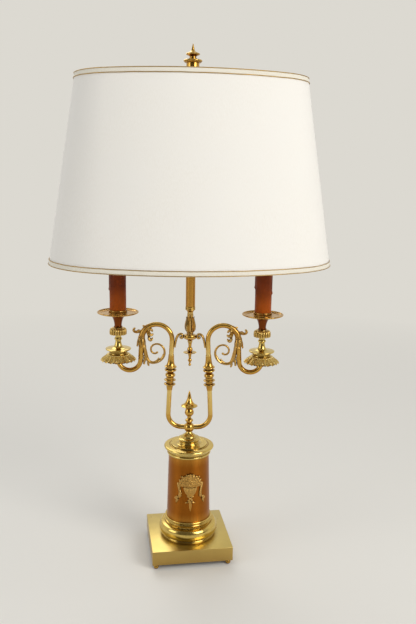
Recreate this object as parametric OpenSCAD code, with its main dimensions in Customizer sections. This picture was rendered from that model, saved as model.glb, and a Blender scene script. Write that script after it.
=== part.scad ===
// Bouillotte lamp: a square plinth and a column carry two candle arms, and a
// stem between the arms carries an oval shade. Millimetres, +Z up, X along the
// arms. The origin is on the table, under the middle of the column.

/* [Plinth] */
// Side of the square plinth
plinth_w = 125; // [104:1:150]
// Height of the plinth box, without its feet
plinth_h = 22; // [18:0.5:27]
// Thickness of the plinth's side walls
plinth_wall = 2.5; // [2:0.1:3.2]
// Thickness of the plinth's top
plinth_top = 3; // [2.5:0.1:3.6]
// Turn of the plinth under the arms, anticlockwise from above (degrees)
plinth_turn = 9.5; // [-30:0.5:30]
// Diameter of a ball foot
foot_ball_d = 8; // [6.5:0.1:10]
// Distance from a foot's axis to both nearest sides of the plinth
foot_inset = 6.2; // [5.2:0.1:7.4]
// Height of the iron ballast slab
ballast_h = 10; // [8:0.5:12]

/* [Column] */
// Height of the turned foot
base_h = 31; // [26:0.5:37]
// Largest radius of the turned foot
base_r = 46.2; // [42:0.1:52]
// Height of the drum
drum_h = 104; // [86:1:125]
// Radius of the drum at its foot
drum_r = 34.4; // [33:0.1:38]
// Radius of the drum at its top
drum_top_r = 31.8; // [28:0.1:33]
// Wall of the drum
drum_wall = 1.6; // [1.3:0.1:2]
// Height of the ring collar over the drum
collar_h = 9; // [7.5:0.5:11]
// Radius of the cap disc
cap_r = 39.1; // [37:0.1:47]
// Height of the cap
cap_h = 7.5; // [7:0.1:9]
// Height of the stepped neck over the cap
neck_h = 18.7; // [15.8:0.1:22.4]
// Radius of the small disc on the neck
neck_disc_r = 17.5; // [14.6:0.1:21]
// Radius of the hollow tie tube
tie_r = 4; // [3.8:0.1:4.2]
// Radius of the bore of the tie tube
tie_bore_r = 2.9; // [2.8:0.05:3]

/* [Drum ornament] */
// Turn of the drum's ornament, anticlockwise from above (degrees)
drum_turn = 7; // [-30:0.5:30]
// Height of the basket's rim above the drum's foot
basket_z = 60; // [50:1:72]
// Half-width of the basket's rim
basket_half_w = 10.6; // [8.8:0.1:12.7]
// Height of the basket below its rim
basket_h = 16; // [13.5:0.5:19]
// Height of the bouquet above the basket's rim
bouquet_h = 22; // [18:0.5:26]

/* [Hub and arms] */
// Radius of the hub's ball
hub_r = 8.2; // [7.6:0.1:9.8]
// Radius of the arm tubes
arm_r = 3.75; // [3.6:0.05:4]
// Radius of the bore of the arm tubes
arm_bore_r = 2.75; // [2.5:0.05:2.9]
// Distance between the two arms where they start to rise
arm_gap = 68; // [62:1:81]
// Bend radius of the arms beside the hub
low_bend_r = 20.5; // [17:0.5:22]
// How far the arms lean in towards the stem (degrees)
arm_lean = 2.6; // [0:0.1:3]
// Length of an arm's run from its low bend to its coupling
arm_rise = 39; // [32.5:0.1:46.8]
// Height of a coupling
coupling_h = 57; // [50:1:68]
// Length of an arm's run from its coupling to its arch
arch_rise = 22.6; // [18.8:0.1:27.2]
// Radius of the arch of an arm
arch_r = 23.5; // [19.5:0.5:26]
// Drop from the arch's centre to the hook's centre
hook_drop = 34.6; // [33:0.1:41.5]
// Distance between the axes of the two candles
candle_gap = 221; // [200:1:265]

/* [Stem] */
// Height of the boss's widest ring above the hub's centre
boss_rise = 146.3; // [142:0.1:150]
// Height of the fluted vase with its necks
vase_h = 34; // [28:0.5:40]
// Flutes of the vase
vase_flutes = 10; // [8:1:12]
// Radius of the stem's tube
stem_r = 7.2; // [6.5:0.1:8]
// Wall of the stem's tube
stem_wall = 1; // [0.8:0.1:1.2]
// Length of the stem's tube
stem_len = 328.1; // [313:0.1:386]
// Radius of the tie rod inside the stem
rod_r = 2.5; // [2.2:0.1:2.6]

/* [Candles] */
// Largest radius of the leaf skirt
skirt_r = 27.2; // [23:0.1:32]
// Height of the leaf skirt
skirt_h = 11; // [9:0.5:13]
// Leaves around the skirt
skirt_leaves = 20; // [16:1:24]
// Height of the dish and baluster over the skirt
stand_h = 30; // [27:0.5:36]
// Radius of the dish
dish_r = 19.7; // [16.5:0.1:23.6]
// Height of the fluted knob
knob_h = 11; // [9.5:0.5:13]
// Radius of the fluted knob
knob_r = 13.2; // [12:0.1:15.8]
// Flutes of the knob
knob_flutes = 15; // [12:1:18]
// Height of the trumpet cup
cup_h = 21; // [18:0.5:25]
// Radius of the drip pan
pan_r = 31.6; // [27:0.1:38]
// Radius of the candle sleeve
sleeve_r = 12.6; // [12.4:0.1:13.2]
// Wall of the candle sleeve
sleeve_wall = 1.1; // [0.9:0.1:1.2]
// Height of the candle sleeve
sleeve_h = 104; // [87:1:125]

/* [Bulbs] */
// Largest radius of a candle bulb
bulb_r = 17.5; // [16:0.5:18]
// Length of a bulb with its cap
bulb_h = 100; // [84:1:112]
// Radius of a bulb's screw cap
bulb_cap_r = 6.8; // [6.6:0.05:6.95]

/* [Shade] */
// Length of the shade along its lower edge
shade_len = 418; // [400:1:500]
// Depth of the shade along its lower edge
shade_depth = 288; // [284:1:345]
// Radius of the rounded ends of the lower edge
shade_end_r = 125; // [108:1:134]
// How far the wall leans in between the lower and the upper edge
shade_inset = 42.5; // [36:0.5:46]
// Height of the shade
shade_h = 267; // [225:1:315]
// Thickness of the laminated wall
shade_wall = 0.9; // [0.8:0.1:1.2]
// Width of the tape along each edge
tape_w = 7; // [5.8:0.1:8.4]
// Radius of the frame's wires
wire_r = 1.5; // [1.3:0.1:1.8]
// Depth of the frame's washer below the upper edge
recess = 0.2; // [0.2:0.1:4]
// Turn of the shade over the arms, anticlockwise from above (degrees)
shade_turn = 7; // [-30:0.5:30]
// Height of the finial over the shade's washer
finial_h = 45.4; // [40:0.1:56]

/* [Fits] */
// Radial gap between pieces that are screwed or slipped together
slip = 0.1; // [0.05:0.01:0.15]
// Gap between a piece that turns and its neighbours
run = 0.3; // [0.25:0.05:0.4]
// Width of a seam between the shade's panels
hairline = 0.05; // [0.04:0.01:0.1]

/* [Hidden] */

// Facets of round pieces, of tubes and of swept wires
round_fn = 96;
tube_fn = 32;
wire_sides = 8;

// Colours
brass = "#c8a245";
pale_brass = "#d6bd6e";
dark_brass = "#9a6420";
iron = "#4a4a48";
wax = "#7a2f0c";
cream = "#eee7d6";
white = "#f2f0ea";
steel = "#b9bcbe";

// Heights of the column, from the table up
plinth_z = foot_ball_d;
base_z = plinth_z + plinth_h;
drum_z = base_z + base_h;
collar_z = drum_z + drum_h;
cap_z = collar_z + collar_h;
neck_z = cap_z + cap_h;
neck_top_z = neck_z + neck_h;
// Half of the flat-to-flat height of the hub's ball
hub_seat = 6.5;
hub_z = neck_top_z + hub_seat;

// Plinth
plinth_cavity_z = base_z - plinth_top;
foot_place = plinth_w / 2 - foot_inset;
boss_r = 4.6;
stud_r = 2;
foot_flat = 0.4;
ballast_gap = 1.2;
ballast_w = 2 * (foot_place - boss_r - ballast_gap);
washer_r = 15;
washer_t = 1.5;
nut_r = 7.5;
nut_h = 4;
inlet_r = 5;
inlet_bore_r = 3.2;
inlet_lip = 1.4;
inlet_z = plinth_z + 7;

// Column: spigots that centre the drum
spigot_h = 4;
spigot_wall = 6;

// Arms: an arm is drawn upright and then leans in, turned about the hub
arm_x = arm_gap / 2;
low_bend_x = arm_x - low_bend_r;
low_bend_z = hub_z + low_bend_r;
coupling_z = low_bend_z + arm_rise;
coupling_top_z = coupling_z + coupling_h;
arch_x = arm_x + arch_r;
arch_z = coupling_top_z + arch_rise;
drop_x = arch_x + arch_r;
candle_x = candle_gap / 2;
// The upright arm's own distance to the candle, measured at the skirt
skirt_rise = low_bend_r + arm_rise + coupling_h + arch_rise - hook_drop + 10;
tip_x = candle_x * cos(arm_lean) + skirt_rise * sin(arm_lean);
hook_r = (tip_x - drop_x) / 2;
hook_x = drop_x + hook_r;
hook_z = arch_z - hook_drop;
hub_socket_x = 5;
socket_h = 8;
lead_r = 1.3;
lead_gap = 0.15;
lead_x = lead_r + lead_gap;
lead_turn_r = 3.2;

// Leaf sheath, collar and calyx on the dropping part of an arm
sheath_r = arm_r + 1;
sheath_angle = 56;
calyx_h = 17;
calyx_top_z = arch_z + 4;
calyx_z = calyx_top_z - calyx_h;
calyx_leaves = 6;
calyx_r = 7.4;

// Volute: a spiral that closes by a steady share per degree
volute_x = arch_x + 1.2;
volute_z = arch_z - 17.5;
volute_r = 20.2;
volute_rate = 0.0038;
volute_turn = 405;
volute_start = -82;

// Stem
boss_z = hub_z + boss_rise;
boss_h = 11;
boss_r_max = 10.4;
boss_drop = 6.5;
boss_top_z = boss_z - boss_drop + boss_h;
pendant_h = 40;
pendant_top_z = boss_z - boss_drop;
vase_z = boss_top_z;
ring_z = vase_z + vase_h;
ring_h = 9;
stem_z = ring_z + ring_h;
stem_top_z = stem_z + stem_len;
seat_h = 4;
seat_r = 12;
stub_r = 4.9;
stub_h = 3.4;
washer_z = stem_top_z + seat_h;
frame_washer_t = 2;
frame_washer_r = 16;
rod_grip = 5;
rod_z = pendant_top_z - rod_grip;

// Candles
skirt_z = hub_z + hook_x * sin(arm_lean) + (hook_z - hub_z) * cos(arm_lean) - 1.4;
skirt_top_z = skirt_z + skirt_h;
stand_top_z = skirt_top_z + stand_h;
knob_top_z = stand_top_z + knob_h;
cup_top_z = knob_top_z + cup_h;
pan_floor = 1.4;
pan_ring_h = 6.6;
pan_ring_wall = 1.1;
sleeve_z = cup_top_z + pan_floor;
sleeve_top_z = sleeve_z + sleeve_h;
shank_r = 3;
shank_bore_r = 2;
nipple_r = 5;
nipple_bore_r = 3.2;
cup_socket = 8;
holder_r = sleeve_r - sleeve_wall - 2 * run;
holder_h = 62;
holder_bore_r = bulb_cap_r + slip;
holder_bore_h = 24;
holder_z = sleeve_top_z - holder_h - 1;
holder_grip = 8;
bulb_cap_h = 23.5;
bulb_z = holder_z + holder_h - holder_bore_h + run;

// Shade: four arcs that meet smoothly, the two ends and the two long sides
shade_top_z = washer_z + frame_washer_t + recess;
shade_z = shade_top_z - shade_h;
end_x = shade_len / 2 - shade_end_r;
end_y = shade_depth / 2 - shade_end_r;
side_y = (end_x * end_x - end_y * end_y) / (2 * end_y);
side_r = side_y + shade_depth / 2;
join_angle = atan2(side_y, end_x);
tape_t = 0.5;
spoke_r = 1.1;
spoke_sink = 0.65;
spoke_drop = 0.25;

// Points along an arc and along a curve with two handles
function arc(c, r, a0, a1, n = 8) =
    [for (i = [0:n]) let (a = a0 + (a1 - a0) * i / n) [c[0] + r * cos(a), c[1] + r * sin(a)]];
function oval_arc(c, rx, ry, a0, a1, n = 8) =
    [for (i = [0:n]) let (a = a0 + (a1 - a0) * i / n) [c[0] + rx * cos(a), c[1] + ry * sin(a)]];
function curve(p, q, r, s, n = 8) =
    [for (i = [0:n]) let (t = i / n, u = 1 - t)
        u * u * u * p + 3 * u * u * t * q + 3 * u * t * t * r + t * t * t * s];

// A turned piece: a closed outline of [radius, height] spun about Z
module turned(outline, z = 0) {
    translate([0, 0, z]) rotate_extrude($fn = round_fn) polygon(outline);
}

// A cast piece with leaves or flutes around it: each corner of its outline is
// [radius, height, how far in and how far up it lies in the valleys].
module fluted(outline, count, per = 4, z = 0) {
    n = count * per;
    m = len(outline);
    pts = [for (c = outline) for (i = [0:n - 1])
        let (valley = 1 - abs(sin(180 * i / per)), a = 360 * i / n, r = c[0] - c[2] * valley)
        [r * cos(a), r * sin(a), c[1] + c[3] * valley]];
    faces = [for (j = [0:m - 1]) for (i = [0:n - 1])
        let (k = (j + 1) % m, h = (i + 1) % n) each
            [[j * n + i, k * n + i, k * n + h], [j * n + i, k * n + h, j * n + h]]];
    translate([0, 0, z]) polyhedron(points = pts, faces = faces, convexity = 6);
}

// A wire swept along a path in the XZ plane, with its own radius at each point;
// flat is its width along Y over its width in the plane.
module swept(path, radii, flat = 1, sides = wire_sides) {
    n = len(path);
    tangents = [for (i = [0:n - 1])
        let (d = path[min(i + 1, n - 1)] - path[max(i - 1, 0)]) d / norm(d)];
    pts = [for (i = [0:n - 1]) for (j = [0:sides - 1])
        let (a = 360 * (j + 0.5) / sides, t = tangents[i], w = radii[i] * cos(a))
        [path[i][0] - t[1] * w, radii[i] * flat * sin(a), path[i][1] + t[0] * w]];
    walls = [for (i = [0:n - 2]) for (j = [0:sides - 1])
        let (k = (j + 1) % sides, p = i * sides, q = p + sides) each
            [[p + j, p + k, q + k], [p + j, q + k, q + j]]];
    first = [for (j = [1:sides - 2]) [0, j + 1, j]];
    last = [for (j = [1:sides - 2]) let (e = (n - 1) * sides) [e, e + j, e + j + 1]];
    polyhedron(points = pts, faces = concat(walls, first, last), convexity = 6);
}

// A bend of a tube in the XZ plane, and a straight stretch between two heights
module bend(x, z, bend_r, from, to, r) {
    translate([x, 0, z]) rotate([90, 0, 0])
        rotate_extrude(angle = to - from, start = from, $fn = round_fn)
            translate([bend_r, 0]) circle(r, $fn = tube_fn);
}
module on_arm() {
    translate([0, 0, hub_z]) rotate([0, -arm_lean, 0]) translate([0, 0, -hub_z]) children();
}
module upright(x, z0, z1, r) {
    translate([x, 0, z0]) cylinder(r = r, h = z1 - z0, $fn = tube_fn);
}
module level(x0, x1, z, r) {
    translate([x0, 0, z]) rotate([0, 90, 0]) cylinder(r = r, h = x1 - x0, $fn = tube_fn);
}

// The left side is the right side's mirror image
module on_left() { mirror([1, 0, 0]) children(); }
module at_candle() { translate([candle_x, 0, 0]) children(); }

module at_feet() {
    for (x = [-foot_place, foot_place]) for (y = [-foot_place, foot_place])
        rotate([0, 0, plinth_turn]) translate([x, y, 0]) children();
}

// Ball feet with a seat and a stud, cut flat where they stand
module plinth_feet() {
    ball_r = foot_ball_d / 2;
    stud_h = 6;
    seat = ball_r * 0.8;
    flat_a = asin((foot_flat - ball_r) / ball_r);
    neck_a = acos(seat / ball_r);
    color(brass) at_feet() turned(concat(
        [[0, foot_flat], [0, foot_ball_d + foot_flat + stud_h], [stud_r, foot_ball_d + foot_flat + stud_h],
            [stud_r, foot_ball_d + foot_flat], [seat, foot_ball_d + foot_flat]],
        arc([0, ball_r], ball_r, neck_a, flat_a, 14)), -foot_flat);
}

// Open box with a corner boss over each foot
module plinth_shell() {
    half = plinth_w / 2;
    inner = plinth_w - 2 * plinth_wall;
    color(pale_brass) difference() {
        union() {
            rotate([0, 0, plinth_turn]) difference() {
                translate([-half, -half, plinth_z]) cube([plinth_w, plinth_w, plinth_h]);
                translate([-inner / 2, -inner / 2, plinth_z - 1])
                    cube([inner, inner, plinth_h - plinth_top + 1]);
            }
            at_feet() translate([0, 0, plinth_z])
                cylinder(r = boss_r, h = plinth_h - plinth_top / 2, $fn = tube_fn);
        }
        at_feet() translate([0, 0, plinth_z - 1]) cylinder(r = stud_r + slip, h = 8, $fn = tube_fn);
        translate([0, 0, plinth_z]) cylinder(r = tie_r + slip, h = plinth_h + 1, $fn = tube_fn);
        rotate([0, 0, plinth_turn]) translate([0, half + 1, inlet_z]) rotate([90, 0, 0])
            cylinder(r = inlet_r + slip, h = plinth_wall + 2, $fn = tube_fn);
    }
}

module plinth_ballast() {
    color(iron) difference() {
        rotate([0, 0, plinth_turn])
            translate([-ballast_w / 2, -ballast_w / 2, plinth_cavity_z - ballast_h])
                cube([ballast_w, ballast_w, ballast_h]);
        translate([0, 0, plinth_z]) cylinder(r = tie_r + 2 * slip, h = plinth_h, $fn = tube_fn);
    }
}

// Washer and six-sided nut on the tie tube, under the ballast
module plinth_fasteners() {
    top = plinth_cavity_z - ballast_h;
    color(steel) difference() {
        union() {
            translate([0, 0, top - washer_t]) cylinder(r = washer_r, h = washer_t, $fn = round_fn);
            translate([0, 0, top - washer_t - nut_h]) cylinder(r = nut_r, h = nut_h, $fn = 6);
        }
        translate([0, 0, 0]) cylinder(r = tie_r + slip, h = top + 1, $fn = tube_fn);
    }
}

// Bush in the rear wall that a cord would pass through
module cord_inlet_bush() {
    tail = 3;
    length = plinth_wall + tail;
    color(iron) rotate([0, 0, plinth_turn])
        translate([0, plinth_w / 2 + inlet_lip, inlet_z]) rotate([90, 0, 0]) turned([
            [inlet_bore_r, 0], [inlet_r + inlet_lip - 0.6, 0], [inlet_r + inlet_lip, 0.6],
            [inlet_r + inlet_lip, inlet_lip], [inlet_r, inlet_lip],
            [inlet_r, inlet_lip + length], [inlet_bore_r, inlet_lip + length]]);
}

// Two-way connector under the ballast
module wire_connector() {
    w = 14;
    d = 9;
    h = 6;
    pole = 1.5;
    top = plinth_cavity_z - ballast_h;
    color(white) translate([washer_r + 4, -d / 2, top - h]) difference() {
        cube([w, d, h]);
        for (y = [d / 4, 3 * d / 4]) translate([-1, y, h / 2]) rotate([0, 90, 0])
            cylinder(r = pole, h = w + 2, $fn = tube_fn);
    }
}

// Hollow threaded tube that clamps the plinth, the column and the hub
module column_tie_tube() {
    bottom = plinth_cavity_z - ballast_h - washer_t - nut_h - 1;
    top = hub_z - hub_seat + 3.5;
    color(steel) difference() {
        translate([0, 0, bottom]) cylinder(r = tie_r, h = top - bottom, $fn = tube_fn);
        translate([0, 0, bottom - 1]) cylinder(r = tie_bore_r, h = top - bottom + 2, $fn = tube_fn);
    }
}

// Torus, hollow moulding and fillets under the drum
module column_foot() {
    fillet = 2;
    torus_h = 0.7 * base_h - fillet;
    torus_r = torus_h / 2;
    torus_x = base_r - 0.62 * torus_r;
    rim_r = drum_r + 1.6;
    step_r = drum_r + 2.8;
    hollow_z = torus_h + fillet + 1.5;
    hollow_h = base_h - hollow_z - fillet;
    bore = tie_r + 2 * slip;
    spigot = drum_r - drum_wall - slip - 0.3;
    color(pale_brass) turned(concat(
        [[bore, 0], [base_r - 3.4, 0], [base_r - 3.4, fillet * 0.8]],
        oval_arc([torus_x, fillet * 0.8 + torus_r], 0.62 * torus_r, torus_r, -68, 62, 14),
        [[step_r + 1, torus_h + 1.4], [step_r + 1, hollow_z]],
        curve([step_r, hollow_z], [drum_r - 1.5, hollow_z + 1], [drum_r - 1.5, hollow_z + hollow_h - 1],
            [rim_r, hollow_z + hollow_h]),
        arc([rim_r, base_h - fillet / 2], fillet / 2, -90, 90),
        [[spigot, base_h], [spigot, base_h + spigot_h], [spigot - spigot_wall, base_h + spigot_h],
            [spigot - spigot_wall, base_h - 8], [bore, base_h - 8]]), base_z);
}

// Tapered tube
module column_drum() {
    color(dark_brass) turned([[drum_r - drum_wall, 0], [drum_r, 0], [drum_top_r, drum_h],
        [drum_top_r - drum_wall, drum_h]], drum_z);
}

// Distance of an arm's leaning run from the stem at a height, and the radius of
// the drum's surface at a height above its foot
function arm_at(z) = (arm_x - (z - hub_z) * sin(arm_lean)) / cos(arm_lean);
function drum_at(z) = drum_r + (drum_top_r - drum_r) * z / drum_h;

// Places its children on the drum's front, u along the surface and z up; out
// is the distance of their centre from the surface.
module on_drum(u, z, out = 0) {
    rotate([0, 0, drum_turn + u / drum_r * 180 / PI])
        translate([0, -drum_at(z) - out, drum_z + z]) children();
}
module bead(r, sides = 8) { scale(r) sphere(1, $fn = sides); }

// Basket: staves that draw together, a beaded rim, a foot, crossed legs with
// bars under them, and a hanging spike
module drum_basket() {
    staves = 7;
    rim_beads = 9;
    foot_half_w = 4.4;
    foot_z = basket_z - basket_h;
    leg_z = foot_z - 6;
    bar_z = leg_z - 5;
    color(brass) union() {
        for (i = [0:staves - 1]) let (t = 2 * i / (staves - 1) - 1, bulge = 1.8 * (1 - t * t)) hull() {
            on_drum(t * (basket_half_w - 1.4), basket_z - 2, 0.5 + bulge) bead(1.7, 6);
            on_drum(t * (foot_half_w + 2.6), foot_z + 4, 0.5 + bulge) bead(1.3, 6);
            on_drum(t * foot_half_w, foot_z + 1.2, 0.3 + bulge / 2) bead(0.9, 6);
        }
        for (i = [0:rim_beads - 1]) let (t = 2 * i / (rim_beads - 1) - 1)
            on_drum(t * basket_half_w, basket_z + 0.6, 1.1 + 1.8 * (1 - t * t)) bead(1.9, 6);
        hull() for (u = [-foot_half_w - 0.8, foot_half_w + 0.8]) on_drum(u, foot_z, 0.7) bead(1.3, 6);
        for (s = [-1, 1]) {
            hull() {
                on_drum(s * 3.1, foot_z - 1.3, 0.4 + 0.3 * s) bead(1.05, 6);
                on_drum(-s * 2.3, leg_z, 0.6 + 0.3 * s) bead(1.4, 6);
            }
            hull() {
                on_drum(s * 2.9, bar_z + 2.2, 0.4) bead(0.9, 6);
                on_drum(s * 7.7, bar_z, 0.5) bead(1.2, 6);
            }
        }
        hull() {
            on_drum(0.2, leg_z - 1.2, 0.2) bead(1.1, 6);
            on_drum(0.2, bar_z - 6, 0.6) bead(1.7, 6);
            on_drum(0.2, bar_z - 14, 0.1) bead(0.6, 6);
        }
    }
}

// Bouquet: rows of flower heads on a mound, and a flower at each side
module drum_bouquet() {
    rows = 4;
    bottom_z = basket_z + 4.4;
    row_step = (bouquet_h - 6) / (rows - 1);
    color(brass) union() {
        for (j = [0:rows - 1]) let (n = 6 - j, z = bottom_z + j * row_step, half = 14.4 - 2.4 * j)
            for (i = [0:n - 1]) let (t = 2 * i / (n - 1) - 1, size = 3.1 - 0.15 * j) hull() {
                on_drum(t * half, z, 0) bead(size * 0.7, 6);
                on_drum(t * half, z + (1 - t * t), 0.6 + 1.2 * (1 - t * t)) bead(size);
            }
        for (s = [-1, 1]) hull() {
            on_drum(s * 17.4, bottom_z + 1.5, 0) bead(2, 6);
            on_drum(s * 18.2, bottom_z + 2.5, 0.8) bead(2.5);
        }
    }
}

// Garlands: strings of husks under the side flowers, with drops of husks
module drum_garlands() {
    husks = 7;
    string = curve([19.6, basket_z + 2], [20.2, basket_z - 3], [14.8, basket_z - 7],
        [16.4, basket_z - 17], husks - 1);
    drop = [[20, -20.2], [23.4, -20.6], [24.6, -23.6], [20.8, -24], [22, -27.4]];
    color(brass) for (s = [-1, 1]) union() {
        for (i = [0:husks - 2]) let (p = string[i], q = string[i + 1],
            size = 2.3 - 0.5 * sin(180 * i / husks)) hull() {
                on_drum(s * p[0], p[1], 0.3) bead(size, 6);
                on_drum(s * q[0], q[1], 0.3) bead(size * 0.7, 6);
            }
        hull() {
            on_drum(s * 16.4, basket_z - 17, 0.3) bead(1.3, 6);
            on_drum(s * 19.8, basket_z - 20, 0.3) bead(1.5, 6);
        }
        for (d = drop) on_drum(s * d[0], basket_z + d[1], 0.5) bead(2, 6);
    }
}

// Ring between the drum and the cap
module column_collar() {
    bead_r = 2.2;
    top_r = drum_top_r + 4;
    spigot = drum_top_r - drum_wall - slip - 0.3;
    color(pale_brass) turned(concat(
        [[spigot - spigot_wall, -spigot_h], [spigot, -spigot_h], [spigot, 0], [drum_top_r + 0.4, 0]],
        arc([drum_top_r + 0.4, bead_r], bead_r, -90, 70),
        curve([drum_top_r + 1, 2 * bead_r + 0.4], [drum_top_r + 1, collar_h - 1.8],
            [top_r - 1, collar_h - 1.4], [top_r, collar_h - 1.2]),
        [[top_r, collar_h], [spigot - spigot_wall, collar_h]]), collar_z);
}

// Spun cap with a rolled edge, a groove and a raised ring
module column_cap() {
    edge_r = 2.2;
    groove_r = cap_r - 9;
    step_r = cap_r - 11.5;
    bore = tie_r + 2 * slip;
    color(pale_brass) turned(concat(
        [[bore, 0], [cap_r - edge_r - 1, 0]],
        arc([cap_r - edge_r, edge_r + 0.4], edge_r, -90, 80),
        [[groove_r + 1.2, cap_h - 2.4], [groove_r + 0.6, cap_h - 3.1], [groove_r, cap_h - 3.1],
            [groove_r - 0.4, cap_h - 2], [step_r + 0.6, cap_h - 1.8]],
        arc([step_r - 0.2, cap_h - 1], 0.9, -80, 80, 6),
        [[neck_disc_r + 2, cap_h - 0.5], [neck_disc_r + 0.6, cap_h], [bore, cap_h]]), cap_z);
}

// Drum neck, small disc and hollow-sided dome
module column_neck() {
    disc_z = 0.3 * neck_h;
    disc_h = 3.4;
    dome_z = disc_z + disc_h;
    base = neck_disc_r - 0.8;
    top = hub_seat * 0.73;
    bore = tie_r + slip;
    color(pale_brass) turned(concat(
        [[bore, 0], [base, 0], [base, 0.9], [base - 0.9, 1.3]],
        curve([base - 1.2, 1.4], [base - 1.9, 2.4], [base - 1.9, disc_z - 1.6],
            [base - 1, disc_z - 0.6], 6),
        [[neck_disc_r - 1.6, disc_z]],
        arc([neck_disc_r - 1.4, disc_z + 1.4], 1.4, -80, 80, 6),
        [[neck_disc_r - 2, dome_z - 0.4], [neck_disc_r - 5.4, dome_z]],
        curve([neck_disc_r - 5.8, dome_z + 0.4], [neck_disc_r - 6.2, dome_z + 4.4],
            [top + 1.4, dome_z + 4.6], [top, neck_h - 0.8]),
        [[top, neck_h], [bore, neck_h]]), neck_z);
}

// Ball with a seat above and below and a socket for each arm
module arm_hub() {
    seat_a = asin(hub_seat / hub_r);
    stud_bore = 2;
    color(brass) difference() {
        turned(concat([[0, -hub_seat]], arc([0, 0], hub_r, -seat_a, seat_a, 16), [[0, hub_seat]]), hub_z);
        translate([0, 0, hub_z - hub_seat - 1]) cylinder(r = tie_r + slip, h = 5, $fn = tube_fn);
        translate([0, 0, hub_z - hub_seat]) cylinder(r = tie_bore_r, h = hub_seat, $fn = tube_fn);
        translate([0, 0, hub_z + hub_seat - 3.4]) cylinder(r = stud_bore + slip, h = 5, $fn = tube_fn);
        level(-hub_r - 1, hub_r + 1, hub_z, arm_bore_r);
        on_arm() level(hub_socket_x, hub_r + 2, hub_z, arm_r + slip);
        on_left() on_arm() level(hub_socket_x, hub_r + 2, hub_z, arm_r + slip);
    }
}

// Ring, vase and hollow-sided spire over the hub
module hub_finial() {
    vase_foot = 13.4;
    vase_top = 25.4;
    disc_z = 28;
    tip_z = 53.6;
    disc_r = 12.9;
    color(brass) turned(concat(
        [[0, -3], [2, -3], [2, 0], [5.2, 0], [3.9, 0.9], [4.4, 2.2]],
        arc([4.1, 4.9], 2.2, -80, 80),
        [[3.6, 7.6], [3.1, 9.6], [3.1, 11.8], [4.4, 12.6]],
        curve([4.4, vase_foot], [8.2, vase_foot + 1], [7.8, vase_top - 5], [4.6, vase_top]),
        [[4.6, 26.8], [disc_r - 0.8, disc_z], [disc_r, disc_z + 0.5], [disc_r - 0.2, disc_z + 1.4]],
        curve([disc_r - 1.6, disc_z + 2], [6.4, disc_z + 4.4], [4.8, 37], [3.4, 41]),
        curve([3.2, 42], [2.6, 46], [1.8, 50], [0.5, tip_z - 0.4]),
        [[0, tip_z]]), hub_z + hub_seat);
}

// A lower arm's run, from the hub through the low bend to its coupling
module lower_run(r, more = 0) {
    level(hub_socket_x - more, low_bend_x, hub_z, r);
    bend(low_bend_x, low_bend_z, low_bend_r, -90, 0, r);
    upright(arm_x, low_bend_z, coupling_z + socket_h + more, r);
}
module lower_arm() {
    color(brass) on_arm() difference() {
        lower_run(arm_r);
        lower_run(arm_bore_r, 1);
    }
}

// Turned coupling: sockets at both ends, discs, a ball and a trumpet
module coupling() {
    tube = arm_r + 0.6;
    disc_r = 9.1;
    socket = arm_r + slip;
    k = coupling_h / 57;
    color(brass) on_arm() translate([arm_x, 0, 0]) turned(concat(
        [[socket, 0], [tube - 0.1, 0], [tube, 1], [5.4, 7.4 * k]],
        arc([disc_r - 1.2, 9.6 * k], 1.2, -80, 80, 6), [[5.4, 11.4 * k], [5.4, 14.6 * k]],
        arc([disc_r - 0.9, 16.4 * k], 0.9, -80, 80, 6), [[6, 17.6 * k]],
        oval_arc([0, 24.2 * k], 7.8, 5, -42, 48, 10),
        [[4.6, 28.6 * k], [5, 29.6 * k], [disc_r - 1, 30.8 * k]],
        arc([disc_r - 1.1, 32.6 * k], 1.3, -70, 80, 6), [[6, 34.4 * k], [6, 35.8 * k]],
        arc([disc_r - 0.7, 37.6 * k], 1, -90, 70, 6),
        curve([disc_r - 1, 38.9 * k], [5.4, 41 * k], [4.9, 47 * k], [tube + 0.2, 52 * k]),
        [[tube, coupling_h], [socket, coupling_h], [socket, coupling_h - socket_h],
            [arm_bore_r, coupling_h - socket_h], [arm_bore_r, socket_h], [socket, socket_h]]), coupling_z);
}

// An upper arm's run: out of its coupling, over the arch, down, and round the
// hook up to the candle
arm_tip_z = skirt_top_z - candle_x * sin(arm_lean) + 4;
module upper_run(r, more = 0) {
    upright(arm_x, coupling_top_z - socket_h - more, arch_z, r);
    bend(arch_x, arch_z, arch_r, 0, 180, r);
    upright(drop_x, hook_z, arch_z, r);
    bend(hook_x, hook_z, hook_r, 180, 360, r);
    upright(tip_x, hook_z, arm_tip_z + more, r);
}
module upper_arm() {
    color(brass) on_arm() difference() {
        upper_run(arm_r);
        upper_run(arm_bore_r, 1);
    }
}

// A leaf's blade along a path in the XZ plane: it thins out towards its tip
module blade(path, thick, wide) {
    n = len(path);
    swept(path, [for (i = [0:n - 1]) thick * (0.75 + 0.35 * sin(180 * i / (n - 1)) - 0.35 * i / (n - 1))],
        wide / thick, 6);
}
// Moves a curve's points by the same amount
function moved(path, x, z) = [for (p = path) [p[0] + x, p[1] + z]];

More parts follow.
